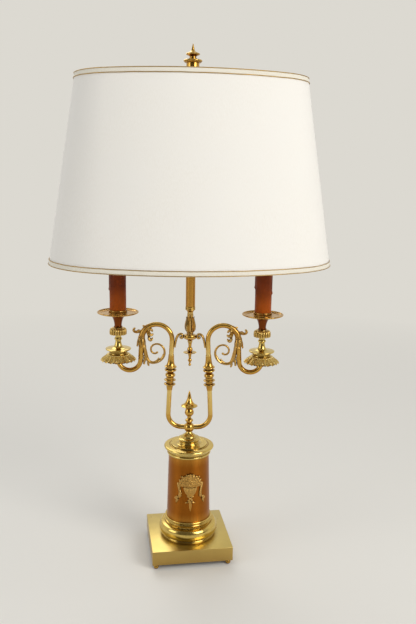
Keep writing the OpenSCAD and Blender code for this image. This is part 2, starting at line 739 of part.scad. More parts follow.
// Sheath of leaves round the outer end of the arch: one leaf scoops outwards,
// one tip stands off the arch, and a three-lobed leaf hangs inside the loop
module arm_leaf() {
    scoop = concat(curve([-2, 13.6], [3.4, 9.6], [7.6, 8.2], [11.2, 9.4], 8),
        arc([11, 12], 2.6, -60, 80, 5));
    color(brass) on_arm() difference() {
        union() {
            bend(arch_x, arch_z, arch_r, 0, sheath_angle, sheath_r);
            blade(moved(scoop, drop_x, arch_z), 2, 3.4);
            blade(moved(curve([-8, 18.6], [-5, 19.6], [-2.8, 18.6], [-0.6, 20.8], 6),
                drop_x, arch_z), 1.8, 2.8);
            blade(moved(concat(curve([3, 18.2], [12.4, 17.4], [18.2, 10], [15.6, 3], 9),
                curve([15.4, 2.2], [14.2, -2.6], [8.4, -3], [5.2, 1.2], 7)), arch_x, arch_z), 1.9, 3.8);
            blade(moved(curve([13.4, 12.8], [11, 11.4], [8, 11.8], [5.8, 14.4], 5), arch_x, arch_z), 1.6, 3);
            blade(moved(curve([16, 7], [12.4, 4.4], [8, 5.2], [5.2, 8.2], 6), arch_x, arch_z), 1.6, 3);
        }
        bend(arch_x, arch_z, arch_r, -1, 100, arm_r + slip);
    }
}

// Ring and downward leaves where the volute leaves the arm
module arm_calyx() {
    bore = arm_r + slip;
    ring_bore = bore + 0.4;
    ring_z = calyx_h - 4.6;
    color(brass) on_arm() translate([drop_x, 0, 0]) union() {
        turned(concat([[ring_bore, ring_z], [4.8, ring_z]], arc([4.5, ring_z + 1.1], 1.1, -80, 80, 6),
            arc([4.5, ring_z + 3.3], 1, -80, 80, 6), [[ring_bore, calyx_h]]), calyx_z);
        fluted([[calyx_r + 0.4, 0, 2.6, 3.2], [6.9, 3, 1.4, 1.2], [5.8, 7, 0.6, 0],
            [5.3, ring_z + 0.5, 0.3, 0], [ring_bore + 0.1, ring_z + 0.5, 0, 0], [bore + 0.2, 6, 0, 0],
            [5.8, 1.6, 1, 2.2]], calyx_leaves, 5, calyx_z);
    }
}

// Volute: a branch that leaves the calyx and winds up in the arm's loop, with
// leaf tips along its outer side
module arm_scroll() {
    steps = 30;
    function spiral(t) = let (a = volute_start - volute_turn * t,
        r = volute_r * exp(-volute_rate * volute_turn * t))
        [volute_x + r * cos(a), volute_z + r * sin(a)];
    start = spiral(0);
    lead = curve([drop_x - 4.6, calyx_z + 2], [drop_x - 6.4, calyx_z - 9],
        [start[0] + 11.5, start[1] - 0.8], start, 12);
    path = concat([for (i = [0:11]) lead[i]], [for (i = [0:steps]) spiral(i / steps)]);
    n = len(path);
    radii = [for (i = [0:n - 1]) let (t = i / (n - 1)) 2.6 - 1.1 * min(1, 1.9 * t)];
    tips = [[7, -14, 5, -20, 3.4, -23.2], [11.4, -20.4, 10.4, -24, 8.8, -26.4],
        [16.2, -23.6, 16, -26, 14.9, -27.8], [28.6, -23.4, 31, -22.6, 33.2, -19.6]];
    color(brass) on_arm() union() {
        swept(path, radii);
        for (t = tips) blade([[drop_x - t[0], calyx_z + t[1]], [drop_x - t[2], calyx_z + t[3]],
            [drop_x - t[4], calyx_z + t[5]]], 1.8, 2.4);
        translate([path[n - 1][0], 0, path[n - 1][1]]) bead(1.8);
    }
}

// C-scroll that ties an arm to the boss: it lies along the arm, arches over
// and rolls up under itself at the boss
module arm_bridge() {
    low_z = boss_z - 17;
    low_x = arm_at(low_z) - arm_r - 0.9;
    path = concat(
        curve([low_x, low_z], [low_x - 1.6, boss_z - 4], [low_x - 3.4, boss_z + 3.4],
            [14.6, boss_z + 4.2], 10),
        curve([13.6, boss_z + 4.2], [11.2, boss_z + 3.9], [10.6, boss_z + 0.4], [11.8, boss_z - 1.2], 4),
        curve([12.3, boss_z - 1.7], [13.8, boss_z - 2.8], [15.8, boss_z - 2], [15.4, boss_z], 4));
    n = len(path);
    color(brass) swept(path, [for (i = [0:n - 1]) 1.1 + 0.5 * sin(180 * i / (n - 1))], 1.3);
}

// Leads: up the column, along the arms, and through the nipples
module arm_leads() {
    gap = 0.4;
    bottom = plinth_cavity_z - ballast_h - washer_t - nut_h - 2;
    color(white) for (s = [0, 1]) mirror([s, 0, 0]) {
        upright(lead_x, bottom, hub_z - lead_turn_r, lead_r);
        bend(lead_x + lead_turn_r, hub_z - lead_turn_r, lead_turn_r, 90, 180, lead_r);
        on_arm() {
            level(lead_x + lead_turn_r + gap, low_bend_x, hub_z, lead_r);
            bend(low_bend_x, low_bend_z, low_bend_r, -90, 0, lead_r);
            upright(arm_x, low_bend_z, arch_z, lead_r);
            bend(arch_x, arch_z, arch_r, 0, 180, lead_r);
            upright(drop_x, hook_z, arch_z, lead_r);
            bend(hook_x, hook_z, hook_r, 180, 360, lead_r);
            upright(tip_x, hook_z, arm_tip_z, lead_r);
        }
        upright(candle_x, skirt_top_z + 4.2 + gap, holder_z + holder_grip, lead_r);
    }
}

// Bowl and ring that the bridges hold
module stem_boss() {
    bore = rod_r + slip;
    color(brass) turned(concat(
        [[bore, 0], [3.2, 0]],
        curve([3.6, 0.4], [5, 2.6], [boss_r_max - 1, 3.4], [boss_r_max, boss_drop - 0.8]),
        [[boss_r_max, boss_drop + 0.8], [boss_r_max - 1.6, boss_drop + 1.4]],
        arc([boss_r_max - 2.4, boss_h - 2], 1.4, -60, 80, 6),
        [[5, boss_h - 0.4], [5, boss_h], [bore, boss_h]]), boss_z - boss_drop);
}

// Hanging finial that is the nut of the stem's tie rod
module stem_pendant() {
    color(brass) turned(concat(
        [[0, 0], [0.8, 0.3]], arc([0, 2.4], 2.2, -60, 55, 6),
        [[1.3, 4.8]], arc([0, 9.6], 3.1, -55, 60, 8),
        [[1.8, 13], [2.3, 17], [3.2, 20.4], [9.8, 21.5], [10.4, 22], [9.8, 22.6], [3.2, 23.2]],
        arc([0, 26.9], 4.3, -50, 55, 8),
        [[2.3, 31.2], [2.9, 37], [3.8, pendant_h - 1.6], [3.8, pendant_h],
            [rod_r + slip, pendant_h], [rod_r + slip, pendant_h - rod_grip - 1],
            [0, pendant_h - rod_grip - 1]]), pendant_top_z - pendant_h);
}

// Fluted vase between two necks
module stem_vase() {
    bore = rod_r + run;
    top = vase_h;
    color(brass) fluted([[bore, 0, 0, 0], [4.7, 0, 0, 0], [4.7, 2.2, 0, 0], [5.3, 3, 0, 0],
        [5.8, 5, 0.3, 0], [7.3, 9.5, 0.9, 0], [7.3, 13.5, 0.9, 0], [6.1, 20, 0.8, 0], [5.3, 25, 0.5, 0],
        [6, 27, 0.4, 0], [4.3, 28.6, 0, 0], [4.2, top, 0, 0], [bore, top, 0, 0]],
        vase_flutes, 4, vase_z);
}

// Ring collar under the stem's tube, with the spigot that centres the tube
module stem_collar() {
    r = stem_r + 0.6;
    low = 3.6;
    bore = rod_r + slip;
    color(brass) turned(concat(
        [[bore, 0], [4.4, 0], [4.8, 1.4], [r - 1.2, low]],
        arc([r - 1.2, low + 1.3], 1.2, -80, 80, 6), arc([r - 1.2, ring_h - 1.5], 1.2, -70, 80, 6),
        [[stem_r, ring_h], [stem_r - stem_wall - slip, ring_h], [stem_r - stem_wall - slip, ring_h + 6],
            [bore, ring_h + 6]]), ring_z);
}

module stem_tube() {
    color(brass) turned([[stem_r - stem_wall, 0], [stem_r, 0], [stem_r, stem_len],
        [stem_r - stem_wall, stem_len]], stem_z);
}

module stem_tie_rod() {
    color(steel) translate([0, 0, rod_z])
        cylinder(r = rod_r, h = washer_z + 18 - rod_z, $fn = tube_fn);
}

// Bush on the tube that the shade's frame rests on
module shade_seat() {
    spigot = stem_r - stem_wall - slip;
    bore = rod_r + slip;
    color(brass) turned(concat(
        [[bore, -6], [spigot, -6], [spigot, 0], [stem_r + 0.6, 0]],
        curve([stem_r + 0.8, 0.2], [stem_r + 1.4, 2], [seat_r - 1, 1.6], [seat_r, seat_h - 1], 6),
        [[seat_r, seat_h], [stub_r, seat_h], [stub_r, seat_h + stub_h], [bore, seat_h + stub_h]]),
        stem_top_z);
}

// Leaf skirt under the dish
module candle_skirt() {
    hole = 7.4;
    wall = 1.1;
    top = skirt_h;
    color(brass) at_candle() fluted([[skirt_r, 0.2, 1.7, 1],
        [skirt_r - 5, 5.4, 0.9, 0.3], [17.6, top - 1.4, 0.4, 0], [16.4, top, 0, 0], [hole, top, 0, 0],
        [hole, top - wall, 0, 0], [15.6, top - wall - 1, 0.4, 0], [skirt_r - 2.4, 0.4, 1, 0.8]],
        skirt_leaves, 4, skirt_z);
}

// Dish, hollow cone and baluster, with the sockets of the arm and the nipple
module candle_stand() {
    below = 7;
    ring_r = 14.3;
    ball_z = stand_h - 6.7;
    color(pale_brass) difference() {
    at_candle() turned(concat(
        [[shank_bore_r, -below], [7, -below], [7, 0], [ring_r - 1, 0]],
        arc([ring_r - 1.2, 1.3], 1.2, -80, 80, 6),
        [[12.6, 2.8], [12.6, 4]],
        curve([12.8, 4.2], [13.4, 5.6], [dish_r - 3, 5.4], [dish_r - 0.6, 6.4], 6),
        arc([dish_r - 0.9, 7.4], 0.9, -70, 80, 6),
        curve([dish_r - 2.6, 8.6], [dish_r - 7, 8.8], [9, 9.4], [7.4, 10.6], 5),
        curve([7, 11.2], [5.6, 13], [4.9, 16], [4.4, ball_z - 3.2], 6),
        oval_arc([4.2, ball_z], 1.9, 2, -80, 80, 8),
        [[4.4, ball_z + 3.2], [4.6, stand_h], [shank_r + slip, stand_h], [shank_r + slip, 6],
            [shank_bore_r, 6]]), skirt_top_z);
        on_arm() upright(tip_x, hook_z, arm_tip_z, arm_r + slip);
    }
}

// Fluted knob: a bell of leaves that opens downwards
module candle_knob() {
    bore = shank_r + slip;
    h = knob_h;
    color(brass) at_candle() fluted([[knob_r - 0.3, 0.2, 1.2, 0.7], [knob_r, 2.6, 1.3, 0.2],
        [knob_r - 0.2, h - 4, 1.4, 0], [knob_r - 1.6, h - 1.4, 1, 0],
        [7.8, h - 0.8, 0, 0], [6.9, h, 0, 0], [bore, h, 0, 0], [bore, 0, 0, 0], [5, 0, 0, 0],
        [5.4, h - 4.4, 0, 0], [knob_r - 3, h - 4.6, 0.8, 0], [knob_r - 1.8, 1, 1, 0.5]],
        knob_flutes, 4, stand_top_z);
}

// Trumpet cup under the drip pan
module candle_cup() {
    socket_z = cup_h - cup_socket;
    color(dark_brass) at_candle() turned(concat(
        [[shank_r + slip, 0], [5.4, 0]], arc([5.4, 1.3], 1.2, -90, 80, 6),
        [[5.5, 2.8]],
        curve([5.5, 3.2], [6, cup_h - 10], [8, cup_h - 5], [12, cup_h - 0.6], 10),
        [[12, cup_h], [nipple_r + slip, cup_h], [nipple_r + slip, socket_z],
            [shank_r + slip, socket_z]]), knob_top_z);
}

// Drip pan with a rolled rim and the ring that holds the sleeve
module drip_pan() {
    ring_in = sleeve_r + slip;
    ring_out = ring_in + pan_ring_wall;
    rim_z = 2.9;
    bead_r = 0.9;
    well_r = pan_r - 4.5;
    color(brass) at_candle() turned(concat(
        [[nipple_r + slip, 0], [12.4, 0], [well_r - 4, 0.6]],
        curve([well_r, 0.7], [well_r + 1.6, 0.8], [pan_r - 2, rim_z - 1.6], [pan_r - 1.1, rim_z - 0.9], 6),
        arc([pan_r - bead_r, rim_z], bead_r, -60, 180, 12),
        curve([pan_r - 2.4, rim_z - 0.4], [pan_r - 3.2, rim_z - 1], [well_r + 0.6, 1.7],
            [well_r - 1, 1.6], 6),
        [[ring_out + 1, pan_floor + 0.4], [ring_out + 0.2, pan_floor + 1.2], [ring_out, pan_ring_h - 1]],
        arc([ring_out - 0.5, pan_ring_h - 0.5], 0.5, 0, 120, 4),
        [[ring_in, pan_ring_h - 0.4], [ring_in, pan_floor], [nipple_r + slip, pan_floor]]), cup_top_z);
}

// Wax-covered sleeve with run-down drips
module candle_sleeve(drips) {
    color(wax) at_candle() difference() {
        union() {
            translate([0, 0, sleeve_z]) cylinder(r = sleeve_r, h = sleeve_h, $fn = round_fn);
            for (d = drips) rotate([0, 0, d[0]]) translate([sleeve_r - 0.4, 0, sleeve_top_z - d[1]]) {
                cylinder(r = 1.1, h = d[1] - 2, $fn = tube_fn);
                sphere(1.5, $fn = tube_fn);
            }
        }
        translate([0, 0, sleeve_z - 1])
            cylinder(r = sleeve_r - sleeve_wall, h = sleeve_h + 2, $fn = round_fn);
    }
}
drips_left = [[185, 68], [255, 46], [300, 58], [30, 40], [110, 62]];
drips_right = [[180, 62], [240, 40], [350, 70], [60, 52], [120, 36]];

// Stepped hollow nipples from the baluster up to the lampholder
module candle_nipples() {
    bottom = skirt_top_z + 6 + slip;
    step = cup_top_z - cup_socket;
    top = holder_z + holder_grip;
    color(steel) for (s = [0, 1]) mirror([s, 0, 0]) at_candle() turned([[shank_bore_r, bottom],
        [shank_r, bottom], [shank_r, step], [nipple_r, step], [nipple_r, top], [nipple_bore_r, top],
        [nipple_bore_r, step + 3], [shank_bore_r, step + 3]]);
}

// Candle lampholders inside the sleeves
module lampholders() {
    waist = 8.6;
    top = holder_h;
    color(white) for (s = [0, 1]) mirror([s, 0, 0]) at_candle() turned([[nipple_r + slip, 0], [waist, 0],
        [waist, 16], [holder_r, 22], [holder_r, top - 1], [holder_r - 1, top], [holder_bore_r, top],
        [holder_bore_r, top - holder_bore_h], [4, top - holder_bore_h], [4, top - holder_bore_h - 6],
        [4, holder_grip + 3], [nipple_r + slip, holder_grip + 3]], holder_z);
}

// Candle bulb with its screw cap
module bulb() {
    glass_z = bulb_cap_h;
    belly_z = glass_z + 0.36 * (bulb_h - glass_z);
    color(white) at_candle() turned(concat(
        [[0, 0], [2, 0], [4.6, 3], [bulb_cap_r - 0.4, 4], [bulb_cap_r, 5], [bulb_cap_r, glass_z - 1],
            [bulb_cap_r - 0.6, glass_z]],
        curve([bulb_cap_r, glass_z + 2], [bulb_cap_r + 2.6, glass_z + 9], [bulb_r, belly_z - 14],
            [bulb_r, belly_z], 8),
        curve([bulb_r - 0.02, belly_z + 1], [bulb_r, belly_z + 18], [6, bulb_h - 12], [1.6, bulb_h - 1], 12),
        [[0, bulb_h]]), bulb_z);
}

// Spins a flat shape round the shade's oval. The shape's X is its distance
// outside the lower edge's line, which is negative inside. A seam leaves a
// hairline of that width on both sides of each long panel.
module around_shade(seam = 0) {
    ends = 2 * join_angle;
    trim = seam / side_r * 180 / PI;
    sides = 180 - ends - 2 * trim;
    rotate([0, 0, shade_turn]) for (s = [0, 180]) rotate([0, 0, s]) {
        translate([end_x, 0, 0]) rotate_extrude(angle = ends, start = -join_angle, $fn = 2 * round_fn)
            translate([shade_end_r, 0]) children();
        translate([0, -side_y, 0]) rotate_extrude(angle = sides, start = join_angle + trim,
            $fn = 2 * round_fn) translate([side_r, 0]) children();
    }
}
// The wall's distance outside the lower edge at a height above it, and the
// distance of a wire that lies inside the wall
function lean(z) = -shade_inset * z / shade_h;
function wire_out(z) = lean(z) - shade_wall - wire_r - 0.15;
module wire_section(z) { polygon(arc([wire_out(z), shade_z + z], wire_r, 0, 345, 23)); }

// Laminated wall, in four panels
module shade_cover() {
    color(cream) around_shade(hairline) polygon([[lean(0) - shade_wall, shade_z], [lean(0), shade_z],
        [lean(shade_h), shade_top_z], [lean(shade_h) - shade_wall, shade_top_z]]);
}

// Four spokes from the washer to the upper wire. They start sunk a little under
// the washer's top and end just under the wire's axis, so the frame lies flat
// under the finial.
module spokes(r) {
    ring_h = shade_h - wire_r - 0.2;
    spoke_z = washer_z + frame_washer_t - spoke_r - spoke_sink;
    rise = shade_z + ring_h - spoke_drop - spoke_z;
    start = frame_washer_r - 3;
    for (a = [0:90:270]) let (reach = (a % 180 == 0 ? shade_len : shade_depth) / 2
        + wire_out(ring_h) - start)
        rotate([0, 0, shade_turn + a]) translate([start, 0, spoke_z])
            rotate([0, 90 - atan2(rise, reach), 0])
                cylinder(r = r, h = norm([reach, rise]), $fn = tube_fn);
}

// Upper wire with the spokes and the washer that rests on the seat
module shade_frame() {
    color(steel) union() {
        around_shade() wire_section(shade_h - wire_r - 0.2);
        spokes(spoke_r);
        translate([0, 0, washer_z]) difference() {
            cylinder(r = frame_washer_r, h = frame_washer_t, $fn = round_fn);
            translate([0, 0, -2]) cylinder(r = stub_r + slip, h = 6, $fn = tube_fn);
        }
    }
}

module shade_bottom_ring() {
    color(steel) around_shade() wire_section(wire_r + 0.2);
}

// Folded tapes over both edges. A point of the tape is given by its distance
// along the wall from the edge and its distance outside the wall's face.
function tape_point(top, along, out) = top
    ? [lean(shade_h - along) + out, shade_top_z - along]
    : [lean(along) + out, shade_z + along];
module shade_tapes() {
    inner = -shade_wall - 2 * wire_r - 0.4;
    color(cream) difference() {
        for (top = [false, true]) around_shade(hairline) polygon([
            tape_point(top, tape_w, tape_t), tape_point(top, -tape_t, tape_t),
            tape_point(top, -tape_t, inner - tape_t), tape_point(top, tape_w, inner - tape_t),
            tape_point(top, tape_w, inner), tape_point(top, 0, inner),
            tape_point(top, 0, 0), tape_point(top, tape_w, 0)]);
        spokes(spoke_r + slip);
    }
}

// Turned finial that screws down over the shade's washer
module top_finial() {
    bore = rod_r + slip;
    well_r = stub_r + run;
    well_h = stub_h - frame_washer_t + run;
    s = 13.4;
    k = (finial_h - s) / 32;
    color(brass) turned(concat(
        [[well_r, run], [9.4, run], [9.4, 1.8], [7.4, 2.6], [6.4, 4.6], [6.2, 6.4]],
        curve([6.2, 6.4], [6.2, 9], [9.2, 9.6], [9.3, s], 6),
        [[9.3, s + 5.4 * k], [11.8, s + 6 * k]],
        arc([11.9, s + 8.4 * k], 1.6, -80, 80, 6),
        [[8, s + 10.6 * k], [5.7, s + 11 * k], [5.7, s + 12.2 * k], [4.6, s + 12.8 * k],
            [4.6, s + 14.2 * k], [6.4, s + 15.4 * k]],
        arc([8.7, s + 17.6 * k], 1.3, -70, 80, 6),
        [[7, s + 19.4 * k]],
        curve([6.7, s + 19.8 * k], [3.8, s + 20.6 * k], [2.8, s + 22 * k], [2.4, s + 23.4 * k], 5),
        [[1.6, s + 27 * k], [0.5, s + 31.6 * k], [0, s + 32 * k], [0, 19], [bore, 19],
            [bore, well_h + 0.6], [well_r, well_h + 0.6]]), washer_z + frame_washer_t);
}

plinth_feet();
plinth_shell();
plinth_ballast();
plinth_fasteners();
cord_inlet_bush();
wire_connector();
column_tie_tube();
column_foot();
column_drum();
drum_basket();
drum_bouquet();
drum_garlands();
column_collar();
column_cap();
column_neck();
arm_hub();
hub_finial();
on_left() lower_arm();  // lower_arm_left
lower_arm();  // lower_arm_right
on_left() coupling();  // coupling_left
coupling();  // coupling_right
on_left() upper_arm();  // upper_arm_left
upper_arm();  // upper_arm_right
on_left() arm_leaf();  // arm_leaf_left
arm_leaf();  // arm_leaf_right
on_left() arm_calyx();  // arm_calyx_left
arm_calyx();  // arm_calyx_right
on_left() arm_scroll();  // arm_scroll_left
arm_scroll();  // arm_scroll_right
on_left() arm_bridge();  // arm_bridge_left
arm_bridge();  // arm_bridge_right
arm_leads();
stem_boss();
stem_pendant();
stem_vase();
stem_collar();
stem_tube();
stem_tie_rod();
shade_seat();
on_left() candle_skirt();  // candle_skirt_left
candle_skirt();  // candle_skirt_right
on_left() candle_stand();  // candle_stand_left
candle_stand();  // candle_stand_right
on_left() candle_knob();  // candle_knob_left
candle_knob();  // candle_knob_right
on_left() candle_cup();  // candle_cup_left
candle_cup();  // candle_cup_right
on_left() drip_pan();  // drip_pan_left
drip_pan();  // drip_pan_right
on_left() candle_sleeve(drips_left);  // candle_sleeve_left
candle_sleeve(drips_right);  // candle_sleeve_right
candle_nipples();
lampholders();
on_left() bulb();  // bulb_left
bulb();  // bulb_right
shade_frame();
shade_bottom_ring();
shade_cover();
shade_tapes();
top_finial();
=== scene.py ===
# %% [markdown]
# # A bouillotte lamp in brass
# This lesson dresses a table lamp: a square brass plinth, a brown column with a cast flower
# basket, two scrolled arms with electric candles, and an oval cream shade. Most of the turned
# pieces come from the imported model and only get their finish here. Cast leaves, flowers, wax, glass
# and the shade's fabric are modelled in this file, because their charm is in small uneven detail.

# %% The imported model
import math
import random

import bmesh
import bpy
from mathutils import Matrix, Vector


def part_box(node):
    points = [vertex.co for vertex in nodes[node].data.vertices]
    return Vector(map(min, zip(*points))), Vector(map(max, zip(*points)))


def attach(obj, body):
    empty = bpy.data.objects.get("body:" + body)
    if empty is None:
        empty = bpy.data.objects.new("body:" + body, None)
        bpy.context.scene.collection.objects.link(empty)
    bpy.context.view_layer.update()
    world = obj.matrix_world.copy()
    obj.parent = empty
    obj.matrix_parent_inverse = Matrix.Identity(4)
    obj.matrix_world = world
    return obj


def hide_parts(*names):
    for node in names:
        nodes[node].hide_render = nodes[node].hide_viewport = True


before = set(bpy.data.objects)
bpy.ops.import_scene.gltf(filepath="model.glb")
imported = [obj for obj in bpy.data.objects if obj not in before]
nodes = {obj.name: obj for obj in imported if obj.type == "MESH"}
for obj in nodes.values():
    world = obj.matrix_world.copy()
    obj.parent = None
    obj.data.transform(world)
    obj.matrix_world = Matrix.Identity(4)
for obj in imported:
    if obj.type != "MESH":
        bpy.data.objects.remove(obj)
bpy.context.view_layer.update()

# %% [markdown]
# ## The camera
# The picture was taken from a little over a metre away, at about three quarters of the lamp's
# height, looking slightly down. A camera can be dragged into place by hand, but a matrix made from
# the measured angles gives the same view each time. The focal length is worked out for a picture
# 416 by 624 pixels, whose long side is the sensor's width.

# %% Camera
PICTURE = (416, 624)
FOCAL_PIXELS = 705.55
SENSOR_MM = 36
CAMERA_PLACE = Vector((0.0351, -1.0545, 0.6059))
CAMERA_YAW, CAMERA_PITCH, CAMERA_ROLL = -0.0077, 0.1998, 0.0156


def camera_matrix():
    """Turns yaw, downward pitch and roll, in radians, into the camera's matrix."""
    ahead = Vector((math.sin(CAMERA_YAW) * math.cos(CAMERA_PITCH),
                    math.cos(CAMERA_YAW) * math.cos(CAMERA_PITCH), -math.sin(CAMERA_PITCH)))
    right = Vector((math.cos(CAMERA_YAW), -math.sin(CAMERA_YAW), 0))
    up = right.cross(ahead)
    side = right * math.cos(CAMERA_ROLL) + up * math.sin(CAMERA_ROLL)
    top = up * math.cos(CAMERA_ROLL) - right * math.sin(CAMERA_ROLL)
    turn = Matrix((side, top, -ahead)).transposed().to_4x4()
    return Matrix.Translation(CAMERA_PLACE) @ turn


camera_data = bpy.data.cameras.new("camera")
camera_data.sensor_width = SENSOR_MM
camera_data.lens = FOCAL_PIXELS * camera_data.sensor_width / max(PICTURE)
camera = bpy.data.objects.new("camera", camera_data)
camera.matrix_world = camera_matrix()
bpy.context.scene.collection.objects.link(camera)
bpy.context.scene.camera = camera
bpy.context.scene.view_settings.view_transform = "Standard"
print("lens:", round(camera_data.lens, 2), "mm")

# %% [markdown]
# ## Building node trees
# Every finish is a small tree of nodes. They could be drawn in the shader editor, but in a script a
# few helpers that add a node, set its values and link its inputs are enough, and a finish below
# then reads like a list of what is laid over what.

# %% Node helpers
def srgb(*colour):
    """A screen colour, 0 to 255, as the linear colour that a shader takes."""
    linear = [(c / 255 / 12.92) if c <= 10 else ((c / 255 + 0.055) / 1.055) ** 2.4 for c in colour]
    return (*linear, 1.0)


def darker(colour, share):
    return tuple(c * share for c in colour[:3]) + (1.0,)


def feed(tree, node, inputs):
    """Fills a node's inputs, each with a constant or by a link from another node's output."""
    for key, value in inputs.items():
        if isinstance(value, bpy.types.NodeSocket):
            tree.links.new(value, node.inputs[key])
        else:
            node.inputs[key].default_value = value


def add(tree, kind, inputs=None, **settings):
    node = tree.nodes.new(kind)
    for key, value in settings.items():
        setattr(node, key, value)
    feed(tree, node, inputs or {})
    return node


def math_node(tree, operation, *values):
    return add(tree, "ShaderNodeMath", dict(enumerate(values)), operation=operation).outputs[0]


def mix_colour(tree, factor, a, b):
    """Lays colour b over colour a."""
    return add(tree, "ShaderNodeMix", {0: factor, 6: a, 7: b}, data_type="RGBA").outputs[2]


def rescale(tree, value, low, high, to_low=0.0, to_high=1.0):
    return add(tree, "ShaderNodeMapRange", {0: value, 1: low, 2: high, 3: to_low, 4: to_high},
               clamp=True).outputs[0]


def new_finish(name):
    """A new material, its node tree and its shader."""
    material = bpy.data.materials.new(name)
    material.use_nodes = True
    tree = material.node_tree
    return material, tree, tree.nodes["Principled BSDF"]


def new_group(name, inputs, output):
    """An empty shader group with named float inputs and one output, and its two end nodes."""
    tree = bpy.data.node_groups.new(name, "ShaderNodeTree")
    for label, default in inputs.items():
        socket = tree.interface.new_socket(label, in_out="INPUT", socket_type="NodeSocketFloat")
        socket.default_value = default
    tree.interface.new_socket(output, in_out="OUTPUT", socket_type="NodeSocketFloat")
    return tree, tree.nodes.new("NodeGroupInput"), tree.nodes.new("NodeGroupOutput")


def place_group(tree, group, inputs=None):
    """Puts a group in a tree and returns its output."""
    return add(tree, "ShaderNodeGroup", inputs, node_tree=group).outputs[0]


print("a screen grey of 128 is", round(srgb(128)[0], 3), "of full light")

# %% [markdown]
# ## Effects that several finishes share
# Old brass is never one colour. Polish wears the high edges bright, and a painted highlight is laid
# there too; dust and lacquer stay dark in the hollows, which also get painted shade; and the whole is
# faintly mottled. This could be painted piece by piece. Each effect is a group instead, which finds
# its places from the shape, so that cast brass can use much of it and the spun plinth only a little.

# %% Shared effects
# Painted shade: this occlusion mask finds the hollows, where less light falls; finishes darken them as dust
# and painted shade together.
hollow_dust_and_shade, given, result = new_group("hollow_dust_and_shade", {"Reach": 0.004}, "Mask")
shelter = add(hollow_dust_and_shade, "ShaderNodeAmbientOcclusion", {"Distance": given.outputs["Reach"]}, samples=6)
feed(hollow_dust_and_shade, result, {"Mask": rescale(hollow_dust_and_shade, shelter.outputs["AO"], 0.35, 0.95, 1.0, 0.0)})

# Wear and painted highlight: pointiness finds the high edges, which finishes brighten as wear and as a
# painted highlight.
edges, given, result = new_group("edges", {"From": 0.52, "To": 0.62}, "Mask")
shape = add(edges, "ShaderNodeNewGeometry")
worn_and_lit = rescale(edges, shape.outputs["Pointiness"], given.outputs["From"], given.outputs["To"])
feed(edges, result, {"Mask": worn_and_lit})

mottle, given, result = new_group("mottle", {"Scale": 60.0, "Low": 0.35, "High": 0.7}, "Mask")
place = add(mottle, "ShaderNodeTexCoord")
clouds = add(mottle, "ShaderNodeTexNoise", {"Vector": place.outputs["Object"],
             "Scale": given.outputs["Scale"], "Detail": 5.0, "Roughness": 0.62})
patches = rescale(mottle, clouds.outputs[0], given.outputs["Low"], given.outputs["High"])
feed(mottle, result, {"Mask": patches})

grain, given, result = new_group("grain", {"Along": 4.0, "Across": 4.0, "Up": 900.0}, "Height")
place = add(grain, "ShaderNodeTexCoord")
density = add(grain, "ShaderNodeCombineXYZ", {"X": given.outputs["Along"], "Y": given.outputs["Across"],
                                              "Z": given.outputs["Up"]})
stretched = add(grain, "ShaderNodeVectorMath", {0: place.outputs["Object"], 1: density.outputs[0]},
                operation="MULTIPLY")
streaks = add(grain, "ShaderNodeTexNoise", {"Vector": stretched.outputs[0], "Scale": 1.0,
                                            "Detail": 3.0, "Roughness": 0.6})
feed(grain, result, {"Height": streaks.outputs[0]})
print("effect groups:", [g.name for g in bpy.data.node_groups])

# %% [markdown]
# ## Brass
# Brass is a metal, so its colour is the colour of its reflections. Lacquered lamp brass is a warm
# yellow, and brown where the lacquer is toned. Each finish could have a tree of its own, but one
# recipe serves all of them: a colour, a darker colour for dust and painted shade in the hollows, a
# brighter one for worn edges and a painted highlight, for some a darker side colour painted as shade
# on faces turned sideways or down, and very fine lines from the lathe or the polishing belt.

# %% Brass recipe
LINE_HEIGHT = 0.0003


def fine_lines(tree, shader, scale, depth):
    """Raises fine lines by a bump, and returns their pattern. scale is their density along X, Y, Z."""
    lines = place_group(tree, grain, dict(zip(("Along", "Across", "Up"), scale)))
    bump = add(tree, "ShaderNodeBump", {"Strength": depth, "Distance": LINE_HEIGHT, "Height": lines})
    feed(tree, shader, {"Normal": bump.outputs[0]})
    return lines


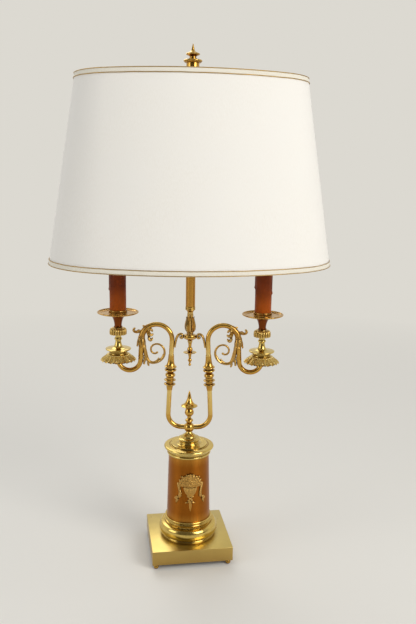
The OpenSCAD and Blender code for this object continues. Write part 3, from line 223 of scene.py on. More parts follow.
def brass(name, colour, dirt_and_shade_colour, worn_highlight_colour, rough, reach=0.006, dirt_and_shade=0.8, grain_scale=None,
          grain_depth=0.1, painted_side_shade=None, wear_and_highlight=0.6, streak=0.0):
    """A brass finish from screen colours. reach is the width of its darkened hollows, in metres, where
    dust and painted shade lie. The side colour, if given, is painted shade on faces turned sideways or
    down, and the high edges are brightened as wear and as a painted highlight. streak draws highlights
    out along Z, as fine turning lines round an upright axis do."""
    material, tree, shader = new_finish(name)
    colour = srgb(*colour)
    base = mix_colour(tree, place_group(tree, mottle, {"Scale": 45.0}), colour, darker(colour, 0.86))
    # Painted shade: faces turned sideways or down take the darker side colour, as if shaded or reflecting a
    # dark surface below.
    if painted_side_shade:
        facing = add(tree, "ShaderNodeTexCoord").outputs["Normal"]
        upward = add(tree, "ShaderNodeSeparateXYZ", {0: facing}).outputs["Z"]
        base = mix_colour(tree, rescale(tree, upward, -0.5, 0.6), srgb(*painted_side_shade), base)
    # Dust and painted shade: the hollows take the darker colour.
    dust_and_shade = math_node(tree, "MULTIPLY", place_group(tree, hollow_dust_and_shade, {"Reach": reach}), dirt_and_shade)
    base = mix_colour(tree, dust_and_shade, base, srgb(*dirt_and_shade_colour))
    # Wear and a painted highlight: the high edges take the bright colour.
    rubbed_and_lit = math_node(tree, "MULTIPLY", place_group(tree, edges), wear_and_highlight)
    base = mix_colour(tree, rubbed_and_lit, base, srgb(*worn_highlight_colour))
    fingermarks = place_group(tree, mottle, {"Scale": 30.0, "Low": 0.3, "High": 0.75})
    roughness = rescale(tree, fingermarks, 0.0, 1.0, rough * 0.9, rough * 1.15)
    feed(tree, shader, {"Metallic": 1.0, "Base Color": base, "Roughness": roughness})
    if grain_scale:
        fine_lines(tree, shader, grain_scale, grain_depth)
    if streak:
        around = add(tree, "ShaderNodeTangent", direction_type="RADIAL", axis="Z")
        feed(tree, shader, {"Tangent": around.outputs[0], "Anisotropic": streak,
                            "Anisotropic Rotation": 0.25})
    return material


print("fine lines are at most", LINE_HEIGHT * 1000, "mm high")

# %% [markdown]
# Lathe lines lie level, close together along Z. A belt leaves them running along X. The spun and
# drawn pieces are brighter than the castings, and the drum, cups and stem are toned brown.

# %% Brass finishes
TURNING = (60.0, 60.0, 3000.0)
BELT = (12.0, 2200.0, 2200.0)
# The side colours below are painted shade on faces turned sideways or down.
polished_brass = brass("polished_brass", (222, 182, 94), (92, 50, 10), (250, 228, 150), 0.17,
                       grain_scale=TURNING, painted_side_shade=(190, 138, 52))
pale_brass = brass("pale_brass", (224, 194, 108), (122, 80, 22), (252, 236, 168), 0.18, dirt_and_shade=0.7,
                   grain_scale=TURNING, grain_depth=0.12)
plinth_brass = brass("plinth_brass", (200, 172, 94), (120, 78, 22), (240, 224, 150), 0.3, reach=0.008,
                     dirt_and_shade=0.5, grain_scale=BELT, grain_depth=0.2, painted_side_shade=(156, 106, 36))
pan_brass = brass("pan_brass", (206, 160, 82), (96, 54, 14), (246, 218, 140), 0.2, grain_scale=TURNING)
gilt_brass = brass("gilt_brass", (204, 158, 76), (66, 32, 8), (246, 220, 146), 0.32, reach=0.0035,
                   dirt_and_shade=1.0, wear_and_highlight=0.7, painted_side_shade=(166, 114, 44))
skirt_brass = brass("skirt_brass", (220, 184, 100), (86, 48, 12), (250, 232, 164), 0.32, reach=0.0035,
                    dirt_and_shade=0.9, wear_and_highlight=0.8, painted_side_shade=(188, 144, 64))
ornament_brass = brass("ornament_brass", (196, 142, 66), (72, 34, 8), (238, 200, 118), 0.34,
                       reach=0.0025, dirt_and_shade=0.9, wear_and_highlight=0.8, painted_side_shade=(166, 110, 42))
satin_brass = brass("satin_brass", (162, 96, 28), (84, 40, 8), (210, 152, 64), 0.34, reach=0.003,
                    dirt_and_shade=0.35, grain_scale=TURNING, grain_depth=0.15, streak=0.75)
cup_brass = brass("cup_brass", (122, 62, 24), (44, 18, 6), (206, 136, 58), 0.22, grain_scale=TURNING)
stem_brass = brass("stem_brass", (138, 80, 26), (84, 44, 12), (222, 170, 80), 0.22, dirt_and_shade=0.6,
                   grain_scale=TURNING, streak=0.5)
print("brass finishes:", [m.name for m in bpy.data.materials if "brass" in m.name])

# %% [markdown]
# ## Plain inner parts
# Enamelled wire, plastic, rubber, steel and iron hide inside the lamp or show only from below. One
# colour would look like a toy, so each varies a little in colour and gloss, by one short recipe.

# %% Plain finishes
def plain(name, colour, rough, mottled=0.9, metallic=0.0, scale=90.0):
    """A finish of one material whose colour and gloss vary a little."""
    material, tree, shader = new_finish(name)
    colour = srgb(*colour)
    mask = place_group(tree, mottle, {"Scale": scale})
    feed(tree, shader, {"Metallic": metallic,
                        "Base Color": mix_colour(tree, mask, colour, darker(colour, mottled)),
                        "Roughness": rescale(tree, mask, 0.0, 1.0, rough * 0.85, rough * 1.15)})
    return material


white_enamel = plain("white_enamel", (236, 235, 228), 0.3)
white_plastic = plain("white_plastic", (232, 228, 214), 0.4)
black_plastic = plain("black_plastic", (30, 30, 30), 0.45)
lead_rubber = plain("lead_rubber", (214, 206, 182), 0.55)
zinc_steel = plain("zinc_steel", (186, 190, 192), 0.3, metallic=1.0)
cap_nickel = plain("cap_nickel", (205, 200, 188), 0.22, metallic=1.0)
raw_iron = plain("raw_iron", (78, 76, 74), 0.7, mottled=0.6, scale=300.0)
filament_wire = plain("filament_wire", (120, 112, 100), 0.4, metallic=1.0)
print("plain finishes done, materials so far:", len(bpy.data.materials))

# %% [markdown]
# ## Fabric
# The shade is a fine fabric bonded to a stiff sheet, so its surface is nearly smooth and shows only
# faint upright threads. Its tape is coarser, and a twisted gold thread edges it. Threads this fine
# would cost millions of faces, so a stretched noise tints them and lifts them a little.

# %% Shade fabric and tape
def fabric(name, colour, thread, threads_scale, depth, rough=0.75):
    """Fine fabric: threads_scale is the density of the threads along X, Y and Z."""
    material, tree, shader = new_finish(name)
    colour = srgb(*colour)
    threads = fine_lines(tree, shader, threads_scale, depth)
    tone = mix_colour(tree, rescale(tree, threads, 0.3, 0.7), srgb(*thread), colour)
    uneven = place_group(tree, mottle, {"Scale": 9.0})
    feed(tree, shader, {"Base Color": mix_colour(tree, uneven, tone, darker(colour, 0.965)),
                        "Roughness": rough, "Specular IOR Level": 0.25, "Sheen Weight": 0.15})
    return material


UPRIGHT_THREADS = (1500.0, 1500.0, 14.0)
EVEN_THREADS = (900.0, 900.0, 900.0)
TWISTED_THREADS = (1800.0, 1800.0, 1800.0)
shade_fabric = fabric("shade_fabric", (246, 243, 236), (239, 235, 226), UPRIGHT_THREADS, 0.25)
shade_lining = fabric("shade_lining", (242, 240, 234), (236, 233, 226), UPRIGHT_THREADS, 0.08, 0.5)
tape_fabric = fabric("tape_fabric", (240, 235, 220), (226, 219, 200), EVEN_THREADS, 0.5)
gold_thread = brass("gold_thread", (170, 132, 62), (84, 56, 20), (226, 190, 110), 0.38, reach=0.002,
                    dirt_and_shade=0.6, grain_scale=TWISTED_THREADS, grain_depth=0.6)
print("fabric finishes done, materials so far:", len(bpy.data.materials))

# %% [markdown]
# ## Wax and glass
# The candles are brown wax that lets light in a little way. Near the brass pan, which throws light
# on them, they are lighter, and that light is painted on as a warmer colour at the foot. A plain
# brown would look like wood, so a little light is scattered under the surface, and the hollows by
# the drips are darker with dust and painted shade. The bulbs are frosted glass.

# %% Wax and glass finishes
# Painted light: up to this height above the pan, the wax takes a warmer colour for the light that the pan
# throws on it.
PAN_GLOW_HEIGHT = 0.045


def wax_finish():
    material, tree, shader = new_finish("amber_wax")
    cloudy = place_group(tree, mottle, {"Scale": 70.0, "Low": 0.3, "High": 0.72})
    base = mix_colour(tree, cloudy, srgb(128, 54, 12), srgb(98, 37, 7))
    height = add(tree, "ShaderNodeSeparateXYZ", {0: add(tree, "ShaderNodeTexCoord").outputs["Object"]})
    pan_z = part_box("drip_pan_right")[0].z
    # Painted light from the pan: the foot of the sleeve is warmed towards orange.
    painted_pan_glow = rescale(tree, height.outputs["Z"], pan_z, pan_z + PAN_GLOW_HEIGHT, 0.8, 0.0)
    base = mix_colour(tree, painted_pan_glow, base, srgb(190, 92, 10))
    # Dust and painted shade: the hollows beside the drips are darkened.
    drip_dust_and_shade = math_node(tree, "MULTIPLY", place_group(tree, hollow_dust_and_shade, {"Reach": 0.003}), 0.7)
    base = mix_colour(tree, drip_dust_and_shade, base, srgb(58, 20, 6))
    feed(tree, shader, {"Base Color": base, "Roughness": rescale(tree, cloudy, 0.0, 1.0, 0.34, 0.5),
                        "Specular IOR Level": 0.12, "Subsurface Weight": 0.05,
                        "Subsurface Radius": (0.006, 0.0015, 0.0004), "Subsurface Scale": 1.0})
    return material


def glass_finish():
    material, tree, shader = new_finish("bulb_glass")
    cloudy = place_group(tree, mottle, {"Scale": 40.0})
    feed(tree, shader, {"Base Color": mix_colour(tree, cloudy, srgb(250, 248, 242), srgb(240, 238, 230)),
                        "Roughness": rescale(tree, cloudy, 0.0, 1.0, 0.28, 0.36),
                        "Transmission Weight": 0.9, "IOR": 1.2})
    return material


amber_wax = wax_finish()
bulb_glass = glass_finish()
print("finishes:", len(bpy.data.materials))

# %% [markdown]
# ## Dressing the turned and drawn pieces
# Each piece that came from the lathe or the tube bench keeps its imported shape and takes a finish.
# Smooth shading alone would blur the crisp steps between mouldings, and flat shading would show the
# facets, so shading is smoothed only up to an angle.

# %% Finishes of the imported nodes
SIDES = ((-1, "left"), (1, "right"))
SMOOTH_ANGLE = math.radians(32)


def both(*names):
    """Each name with _left and with _right after it."""
    return [f"{name}_{label}" for name in names for side, label in SIDES]


FINISHES = {
    polished_brass: ["plinth_feet", "arm_hub", "hub_finial", *both("lower_arm", "coupling", "upper_arm"),
                     "stem_boss", "stem_pendant", "stem_collar", "shade_seat", "top_finial"],
    stem_brass: ["stem_tube"],
    pale_brass: ["column_foot", "column_collar", "column_cap", "column_neck", *both("candle_stand")],
    pan_brass: both("drip_pan"),
    satin_brass: ["column_drum"],
    cup_brass: both("candle_cup"),
    zinc_steel: ["plinth_fasteners", "column_tie_tube", "stem_tie_rod", "candle_nipples"],
    raw_iron: ["plinth_ballast"],
    black_plastic: ["cord_inlet_bush"],
    white_plastic: ["wire_connector", "lampholders"],
    lead_rubber: ["arm_leads"],
    white_enamel: ["shade_frame", "shade_bottom_ring"],
}
for finish, names in FINISHES.items():
    for name in names:
        data = nodes[name].data
        data.materials.clear()
        data.materials.append(finish)
        data.shade_smooth()
        data.set_sharp_from_angle(angle=SMOOTH_ANGLE)
print("dressed nodes:", sum(len(names) for names in FINISHES.values()))

# %% [markdown]
# ## Building meshes
# Cast and soft pieces are built from rows of points in millimetres. A Casting gathers such rows and
# turns them into one Blender mesh at the end. Where two runs of rows meet, they simply pass into
# each other, as the wax model of a casting is pressed together from leaves. Joining them by boolean
# operations would be slower and no better to look at.

# %% Casting
MM = 0.001


class Casting:
    """Vertices, in millimetres, and faces of one piece."""

    def __init__(self):
        self.verts = []
        self.faces = []

    def rows(self, rows, caps=True):
        """Joins rows of points, each closed on itself. Caps close the first and last row."""
        first = len(self.verts)
        n = len(rows[0])
        for row in rows:
            self.verts += [tuple(p) for p in row]
        for i in range(len(rows) - 1):
            for j in range(n):
                a, b = first + i * n + j, first + i * n + (j + 1) % n
                self.faces.append((a, b, b + n, a + n))
        if caps:
            self.faces.append(tuple(range(first + n - 1, first - 1, -1)))
            last = first + (len(rows) - 1) * n
            self.faces.append(tuple(range(last, last + n)))

    def shell(self, rows):
        """Rows that close both ways, such as a spun outline."""
        self.rows(list(rows) + [rows[0]], caps=False)

    def piece(self, name, finish, slot, body, replaces=(), sharp=50):
        """Makes the Blender object, in metres, gives it its finish and its body, and hides the imported nodes
        that it replaces.
        """
        mesh = bpy.data.meshes.new(name)
        mesh.from_pydata([tuple(c * MM for c in v) for v in self.verts], [], self.faces)
        shaped = bmesh.new()
        shaped.from_mesh(mesh)
        bmesh.ops.remove_doubles(shaped, verts=shaped.verts, dist=1e-7)
        bmesh.ops.recalc_face_normals(shaped, faces=shaped.faces)
        shaped.to_mesh(mesh)
        shaped.free()
        mesh.shade_smooth()
        mesh.set_sharp_from_angle(angle=math.radians(sharp))
        mesh.materials.append(finish)
        obj = bpy.data.objects.new(name, mesh)
        bpy.context.scene.collection.objects.link(obj)
        if replaces:
            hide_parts(*replaces)
        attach(obj, body)
        return obj


print("a casting is drawn at", MM, "m to the unit")

# %% [markdown]
# Three shapes make up most of the ornament: a tube along a path, a bead, and a leaf. A tube could be
# a Blender curve with a bevel. Here it is a row of rings, because rings can be thick in one place and
# flat in another, and they join the other rows in one mesh.

# %% Curves, rings and tubes
UP = Vector((0, 0, 1))


def curve(p, q, r, s, n):
    """Points of a curve from p to s with handles q and r."""
    out = []
    for i in range(n + 1):
        t = i / n
        u = 1 - t
        out.append(Vector(p) * u ** 3 + Vector(q) * (3 * u * u * t)
                   + Vector(r) * (3 * u * t * t) + Vector(s) * t ** 3)
    return out


def along(path, i):
    return (path[min(i + 1, len(path) - 1)] - path[max(i - 1, 0)]).normalized()


def ring(centre, side, up, half_width, half_height, count):
    """Points of an ellipse round a centre, in the plane of side and up."""
    return [centre + side * (half_width * math.cos(2 * math.pi * k / count))
            + up * (half_height * math.sin(2 * math.pi * k / count)) for k in range(count)]


def tube(casting, path, radii, sides=12, across=Vector((0, 1, 0)), flat=1.0):
    """A tube along a path. across is a direction that the path never follows."""
    rows = []
    for i, point in enumerate(path):
        ahead = along(path, i)
        side = (across - ahead * across.dot(ahead)).normalized()
        radius = radii[i] if isinstance(radii, (list, tuple)) else radii
        rows.append(ring(point, side, ahead.cross(side), radius * flat, radius, sides))
    casting.rows(rows)


def bead(casting, centre, radius, out, squash, sides=8, rings=4):
    """A ball, or a button when squash is under 1 along out."""
    out = out.normalized()
    side = out.orthogonal().normalized()
    up = out.cross(side)
    rows = []
    for i in range(rings + 1):
        a = math.pi * (0.04 + 0.92 * i / rings)
        width = radius * math.sin(a)
        rows.append(ring(centre + out * (-radius * squash * math.cos(a)), side, up, width, width, sides))
    casting.rows(rows)


print("points in a curve of 8 steps:", len(curve((0, 0, 0), (0, 1, 0), (1, 1, 0), (1, 0, 0), 8)))

# %% [markdown]
# A cast leaf has a spine, a width that swells and comes to a tip, a raised rib along its middle,
# edges that may be notched into lobes, and sides that droop. A flat leaf cut from a sheet would be
# quicker to make, but it would vanish when seen edge on, so this one is a closed form.

# %% Leaf
RIB_WIDTH = 0.2


def leaf(casting, spine, across, half_width, thick=0.7, rib=0.35, droop=0.3, lobes=0, notch=0.3,
         columns=9, widest=0.4):
    """A leaf along a spine, half_width to each side at its widest place; it thins towards its tip."""
    power = math.log(0.5) / math.log(widest)
    rows = []
    last = len(spine) - 1
    for i, point in enumerate(spine):
        t = i / last
        ahead = along(spine, i)
        side = (across - ahead * across.dot(ahead)).normalized()
        up = side.cross(ahead)
        swell = (0.5 + 0.5 * math.sin(math.pi * t ** power)) * math.sqrt(max(0.012, 1 - t ** 4))
        width = half_width * swell
        if lobes:
            width *= 1 - notch * (0.5 + 0.5 * math.cos(2 * math.pi * lobes * t))
        body = thick * (1 - 0.55 * t)
        upper, lower = [], []
        for j in range(columns):
            s = 2 * j / (columns - 1) - 1
            bulge = body * math.sqrt(max(0.0, 1 - s * s))
            crest = rib * math.exp(-(s / RIB_WIDTH) ** 2) * (1 - 0.7 * t)
            if lobes:
                crest += 0.4 * rib * math.cos(2 * math.pi * (lobes * t - 0.8 * abs(s))) * abs(s) * (1 - s * s)
            flank = point + side * (width * s) - up * (droop * width * s * s)
            upper.append(flank + up * (0.6 * bulge + crest))
            lower.append(flank - up * (0.4 * bulge))
        rows.append(upper + lower[-2:0:-1])
    casting.rows(rows)


sample = Casting()
leaf(sample, curve((0, 0, 0), (0, 0, 2), (0, 1, 4), (0, 2, 6), 8), Vector((1, 0, 0)), 2)
print("vertices in a leaf of 8 steps:", len(sample.verts))

# %% [markdown]
# Spun pieces could be made with Blender's screw modifier. They are spun by hand here, because a
# wave function may then cut flutes or let wax run while the outline goes round.

# %% Spun outlines and places round an axis
def spun(casting, outline, count, centre=(0, 0), wave=None):
    """Spins [radius, height] points. wave(radius, height, angle) may reshape each point."""
    rows = []
    for radius, height in outline:
        row = []
        for k in range(count):
            a = 2 * math.pi * k / count
            r, z = wave(radius, height, a) if wave else (radius, height)
            row.append(Vector((centre[0] + r * math.cos(a), centre[1] + r * math.sin(a), z)))
        rows.append(row)
    casting.shell(rows)


def ray_and_side(angle):
    """The outward direction at an angle round an upright axis, and the one round the axis."""
    return (Vector((math.cos(angle), math.sin(angle), 0)), Vector((-math.sin(angle), math.cos(angle), 0)))


def beside(axis_x, low, ray, profile):
    """[radius, height] points along a ray from the upright axis at axis_x, heights above low."""
    return [Vector((axis_x, 0, low + z)) + ray * r for r, z in profile]


print("shapes ready: tube, bead, leaf, spun")

# %% [markdown]
# ## The oval shade
# The shade's outline is four arcs that meet smoothly: two round ends and two long shallow sides. An
# ellipse would be simpler, but it is too pointed at the ends and too round at the sides. A ring at
# any height is the outline moved inwards, which keeps the arcs tangent.

# %% Shade outline
SHADE_LENGTH, SHADE_DEPTH, SHADE_END_R = 418.0, 288.0, 125.0
SHADE_INSET = 42.5
SHADE_TURN = math.radians(7)
END_STEPS, SIDE_STEPS = 40, 44
shade_low, shade_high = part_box("shade_cover")[0].z / MM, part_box("shade_cover")[1].z / MM
SHADE_HEIGHT = shade_high - shade_low
end_x = SHADE_LENGTH / 2 - SHADE_END_R
end_y = SHADE_DEPTH / 2 - SHADE_END_R
side_y = (end_x ** 2 - end_y ** 2) / (2 * end_y)
side_r = side_y + SHADE_DEPTH / 2
join_angle = math.atan2(side_y, end_x)


def oval(out, z):
    """A ring of points round the shade, out millimetres outside its lower edge's line."""
    end_angles = [-join_angle + 2 * join_angle * k / END_STEPS for k in range(END_STEPS)]
    side_angles = [join_angle + (math.pi - 2 * join_angle) * k / SIDE_STEPS for k in range(SIDE_STEPS)]
    half = [(end_x + (SHADE_END_R + out) * math.cos(a), (SHADE_END_R + out) * math.sin(a))
            for a in end_angles]
    half += [((side_r + out) * math.cos(a), -side_y + (side_r + out) * math.sin(a)) for a in side_angles]
    return [Vector((x * math.cos(turn) - y * math.sin(turn), x * math.sin(turn) + y * math.cos(turn), z))
            for turn in (SHADE_TURN, math.pi + SHADE_TURN) for x, y in half]


def lean(z):
    """How far the wall stands outside the lower edge's line at a height above that edge."""
    return -SHADE_INSET * z / SHADE_HEIGHT


print("shade height:", round(SHADE_HEIGHT, 1), "mm, ring points:", len(oval(0, 0)))

# %% [markdown]
# The cover is one closed wall with fabric on the outside and a smoother lining inside. A single
# surface would do for a picture, but a wall has a real edge and casts its own shadow.

# %% Shade cover
WALL = 0.9
LEVELS = 16
heights = [SHADE_HEIGHT * i / LEVELS for i in range(LEVELS + 1)]
outside = [oval(lean(h), shade_low + h) for h in heights]
inside = [oval(lean(h) - WALL, shade_low + h) for h in reversed(heights)]
cover = Casting()
cover.shell(outside + inside)
shade_cover = cover.piece("shade_cover_fabric", shade_fabric, "shade_laminate", "shade", ["shade_cover"])
shade_cover.data.materials.append(shade_lining)
for face in shade_cover.data.polygons:
    outward = Vector((face.center.x, face.center.y, 0)).dot(face.normal) > 0
    face.material_index = 0 if outward else 1
print("shade cover faces:", len(shade_cover.data.polygons))

# %% [markdown]
# The tape is a strip folded over each edge of the cover and glued, with a thin gold cord along both
# of its edges on the outside. Its section is drawn once and carried round the oval. Fabric never
# lies dead straight, so its free edge wanders by about a tenth of a millimetre.

# %% Tape and gold cords
TAPE_W, TAPE_T = 7.0, 0.5
WIRE_ROOM = 3.9
INNER_FACE = -WALL - WIRE_ROOM
WANDER = 0.12
CORD_R, CORD_SIDES = 0.55, 8
EDGES = ((0.0, 1), (SHADE_HEIGHT, -1))


def tape_ring(edge_z, upward, along_wall, out):
    """A ring of tape points: along_wall from the edge, and out from the wall's face."""
    height = edge_z + upward * along_wall
    points = oval(lean(height) + out, shade_low + height)
    for k, point in enumerate(points):
        point.z += WANDER * math.sin(k * 0.9) * math.sin(k * 0.23) * (1 if along_wall > 1 else 0)
    return points


def tape(name, edge_z, upward):
    strip = Casting()
    section = [(TAPE_W, 0.1), (TAPE_W - 0.1, TAPE_T), (TAPE_W * 0.5, TAPE_T + 0.12), (0.6, TAPE_T),
               (-0.1, TAPE_T - 0.15), (-TAPE_T, -0.3), (-TAPE_T, INNER_FACE + 1),
               (0.2, INNER_FACE - 0.2), (1.4, INNER_FACE - TAPE_T), (TAPE_W, INNER_FACE - TAPE_T),
               (TAPE_W, INNER_FACE), (0.4, INNER_FACE + 0.2), (0.02, INNER_FACE + 1), (0.02, 0.1)]
    strip.shell([tape_ring(edge_z, upward, a, o) for a, o in section])
    return strip.piece(name, tape_fabric, "shade_tape", "shade")


lower_tape = tape("shade_tape_lower", *EDGES[0])
upper_tape = tape("shade_tape_upper", *EDGES[1])
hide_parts("shade_tapes")

gold = Casting()
for edge_z, upward in EDGES:
    for along_wall in (0.3, TAPE_W - 0.2):
        centre_line = tape_ring(edge_z, upward, along_wall, TAPE_T + CORD_R * 0.5)
        n = len(centre_line)
        rows = []
        for k, point in enumerate(centre_line):
            ahead = (centre_line[(k + 1) % n] - centre_line[k - 1]).normalized()
            rows.append(ring(point, Vector((ahead.y, -ahead.x, 0)), UP, CORD_R, CORD_R, CORD_SIDES))
        gold.shell(rows)
gold.piece("shade_gold_cords", gold_thread, "polished_brass", "shade")

# %% [markdown]
# ## The basket of flowers on the column
# The applied ornament is cast brass: a fluted basket on crossed legs, a heap of flowers with a few
# pointed leaves, and a garland that falls on each side to three small flowers. It could be modelled
# flat and then bent. Here its points are given along the drum's surface, u millimetres round it and
# z above its foot, so the casting follows the curve from the start.

# %% Places on the drum
DRUM_TURN = math.radians(7)
drum_low, drum_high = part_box("column_drum")
DRUM_Z = drum_low.z / MM
DRUM_H = (drum_high.z - drum_low.z) / MM
DRUM_R, DRUM_TOP_R = drum_high.x / MM, 31.8
BASKET_Z = 60.0


def on_drum(u, z, out=0.0):
    """A point u millimetres to the right round the drum, z above its foot and out from it."""
    a = DRUM_TURN + u / DRUM_R
    r = DRUM_R + (DRUM_TOP_R - DRUM_R) * z / DRUM_H + out
    return Vector((r * math.sin(a), -r * math.cos(a), DRUM_Z + z))


def drum_out(u):
    a = DRUM_TURN + u / DRUM_R
    return Vector((math.sin(a), -math.cos(a), 0))


def drum_right(u):
    a = DRUM_TURN + u / DRUM_R
    return Vector((math.cos(a), math.sin(a), 0))


def spread(count):
    """count values from -1 to 1, evenly spaced."""
    return [2 * k / (count - 1) - 1 for k in range(count)]


print("drum:", round(DRUM_R, 1), "mm radius at its foot,", round(DRUM_H, 1), "mm high")

# %% [markdown]
# A leaf or a flower on the drum is a spine laid over the surface. Its middle stands a little proud,
# as a cast leaf does, so that light catches it and a shadow falls under its edge.

# %% Leaf and flower on the drum
SPINE_STEPS = 6
PETAL_PLACES = (0.15, 0.4, 0.65, 0.85, 1.0)


def drum_leaf(casting, u0, z0, u1, z1, half_width, lift, thick=0.8, lobes=0):
    """A leaf on the drum from one place to another; its middle stands lift off the surface."""
    spine = []
    for i in range(SPINE_STEPS + 1):
        t = i / SPINE_STEPS
        spine.append(on_drum(u0 + (u1 - u0) * t, z0 + (z1 - z0) * t, 0.3 + lift * math.sin(math.pi * t)))
    ahead = (spine[-1] - spine[0]).normalized()
    across = drum_out((u0 + u1) / 2).cross(ahead)
    leaf(casting, spine, -across, half_width, thick=thick, rib=0.25, droop=0.25, lobes=lobes, columns=7)


def flower(casting, u, z, radius, petals, lift, spin=0.0):
    """A flower head: a ring of cupped petals round a button."""
    out, right, centre = drum_out(u), drum_right(u), on_drum(u, z, lift)
    for k in range(petals):
        a = spin + 2 * math.pi * k / petals
        ray = right * math.cos(a) + UP * math.sin(a)
        spine = [centre + ray * (radius * t) + out * (0.9 * math.sin(math.pi * t * 0.8) - 0.5 * t * t)
                 for t in PETAL_PLACES]
        leaf(casting, spine, -out.cross(ray), radius * 0.48, thick=0.7, rib=-0.18, droop=-0.25, columns=7)
    bead(casting, centre + out * 0.55, radius * 0.3, out, 0.8)


sample = Casting()
flower(sample, 0, BASKET_Z, 3.5, 5, 1.5)
print("vertices in a flower of 5 petals:", len(sample.verts))

# %% [markdown]
# The basket's staves are tubes set side by side, thick at the rim and thin at the foot, and two
# rows of beads bind them. A woven surface would be lost at this size.

# %% Basket
STAVES, RIM_BEADS = 9, 15
FOOT_Z = BASKET_Z - 16
LEG_POINTS = ((3.4, -0.8), (1.8, -2.4), (-0.4, -4.0), (-2.2, -5.6))
basket = Casting()
for t in spread(STAVES):
    belly = 1 - t * t
    stave = [on_drum(t * 9.6, BASKET_Z - 1, 1.2 + 1.7 * belly),
             on_drum(t * 8.8, BASKET_Z - 5, 1.1 + 1.9 * belly),
             on_drum(t * 7.0, FOOT_Z + 6, 0.9 + 1.8 * belly),
             on_drum(t * 4.6, FOOT_Z + 2.4, 0.7 + 1.0 * belly),
             on_drum(t * 3.6, FOOT_Z + 0.6, 0.6 + 0.5 * belly)]
    tube(basket, stave, [1.35, 1.3, 1.1, 0.8, 0.7], 8, drum_out(0))
for z, half, radius in ((BASKET_Z + 0.4, 10.6, 0.95), (BASKET_Z - 3.6, 9.8, 0.5225)):
    for t in spread(RIM_BEADS):
        bead(basket, on_drum(t * half, z, 1.5 + 1.9 * (1 - t * t)), radius, drum_out(0), 1.0)
tube(basket, [on_drum(u, FOOT_Z, 0.9) for u in (-5.2, -2.6, 0, 2.6, 5.2)], 1.0, 8, drum_out(0))
for s in (-1, 1):
    leg = [on_drum(s * u, FOOT_Z + z, 0.7 + 0.4 * math.cos(z)) for u, z in LEG_POINTS]
    tube(basket, leg, [0.8, 0.9, 0.9, 1.0], 8, drum_out(0))
    flower(basket, -s * 2.3, FOOT_Z - 6.0, 1.9, 5, 0.9)
    drum_leaf(basket, s * 1.6, FOOT_Z - 9.4, s * 8.4, FOOT_Z - 10.8, 1.3, 0.9)
drum_leaf(basket, 0.0, FOOT_Z - 8.0, 0.2, FOOT_Z - 25.0, 1.9, 1.0, 0.9)
basket.piece("flower_basket", ornament_brass, "gilt_brass", "lamp", ["drum_basket"])
print("basket vertices:", len(basket.verts))

# %% [markdown]
# The flowers stand in rows that get shorter towards the top. Even rows would look like beads on a
# string, so each flower is moved, sized and turned a little by a random generator with a fixed seed,
# which gives the same heap each time.

# %% Bouquet
FLOWER_ROWS = ((8, 3.0, 15.6, 3.3), (7, 6.8, 14.4, 3.5), (6, 10.8, 12.0, 3.5), (5, 14.6, 9.0, 3.4),
               (3, 18.0, 4.6, 3.1))
LEAF_PLACES = ((-15, 9, -4.0, 2.0, 2.0), (15, 9, 4.0, 2.2, 2.0), (-12.4, 14, -3.4, 3.0, 1.8),
               (12.4, 14, 3.4, 3.0, 1.8), (-15, 3, -4.2, -2.6, 1.9), (15, 3, 4.2, -2.6, 1.9))
rng = random.Random(4)
bouquet = Casting()
for row, (count, z, half, size) in enumerate(FLOWER_ROWS):
    for t in spread(count):
        belly = 1 - t * t
        u = t * half + rng.uniform(-0.5, 0.5)
        height = BASKET_Z + z + 1.2 * belly + rng.uniform(-0.4, 0.4)
        radius = size * rng.uniform(0.9, 1.1)
        petals = rng.choice((5, 5, 6))
        flower(bouquet, u, height, radius, petals, 1.5 + 2.2 * belly * (1 - row * 0.12), rng.uniform(0, 1.2))
for u, z, du, dz, width in LEAF_PLACES:
    drum_leaf(bouquet, u, BASKET_Z + z, u + du, BASKET_Z + z + dz, width, 1.6, 1.1, 2)
bouquet.piece("flower_bouquet", ornament_brass, "gilt_brass", "lamp", ["drum_bouquet"])
print("bouquet vertices:", len(bouquet.verts))

# %% [markdown]
# A garland is a string of husks, each a pair of small leaves that cross over a bead. They follow one
# curve down beside the basket.

# %% Garlands
HUSKS = 9
garlands = Casting()
for s in (-1, 1):
    string = curve((19.4, 4.0, 0), (20.8, -2, 0), (15.2, -6, 0), (17.0, -17.5, 0), HUSKS)
    for k in range(HUSKS):
        a, b = string[k], string[k + 1]
        size = 3.5 - 1.2 * math.sin(math.pi * k / HUSKS)
        for root, tip in ((-0.6, 1.3), (0.6, -1.3)):
            drum_leaf(garlands, s * (a.x + root), BASKET_Z + a.y + 1.0, s * (b.x + tip),
                      BASKET_Z + b.y - 0.6, size * 0.78, 1.4, 1.2)
        bead(garlands, on_drum(s * b.x, BASKET_Z + b.y, 1.2), size * 0.34, drum_out(s * b.x), 1.0)
    for u, z, size in ((21.2, -18.6, 2.3), (24.0, -20.6, 2.2), (21.4, -22.8, 2.1)):
        flower(garlands, s * u, BASKET_Z + z, size, 5, 0.9, u)
    drum_leaf(garlands, s * 18.0, BASKET_Z - 16.5, s * 21.5, BASKET_Z - 19.0, 1.2, 0.8)
    drum_leaf(garlands, s * 22.6, BASKET_Z - 23.4, s * 23.4, BASKET_Z - 29.0, 1.5, 0.9)
garlands.piece("husk_garlands", ornament_brass, "gilt_brass", "lamp", ["drum_garlands"])
print("garland vertices:", len(garlands.verts))

# %% [markdown]
# ## Leaves, scrolls and bridges on the arms
# The arms lean in a little, so their ornament is built upright, in the arm's own plane, and then
# tipped about the hub like the tube that it sits on. Building it in its leaning place would put a
# sine and a cosine into every point. The left side is the mirror image of the right.

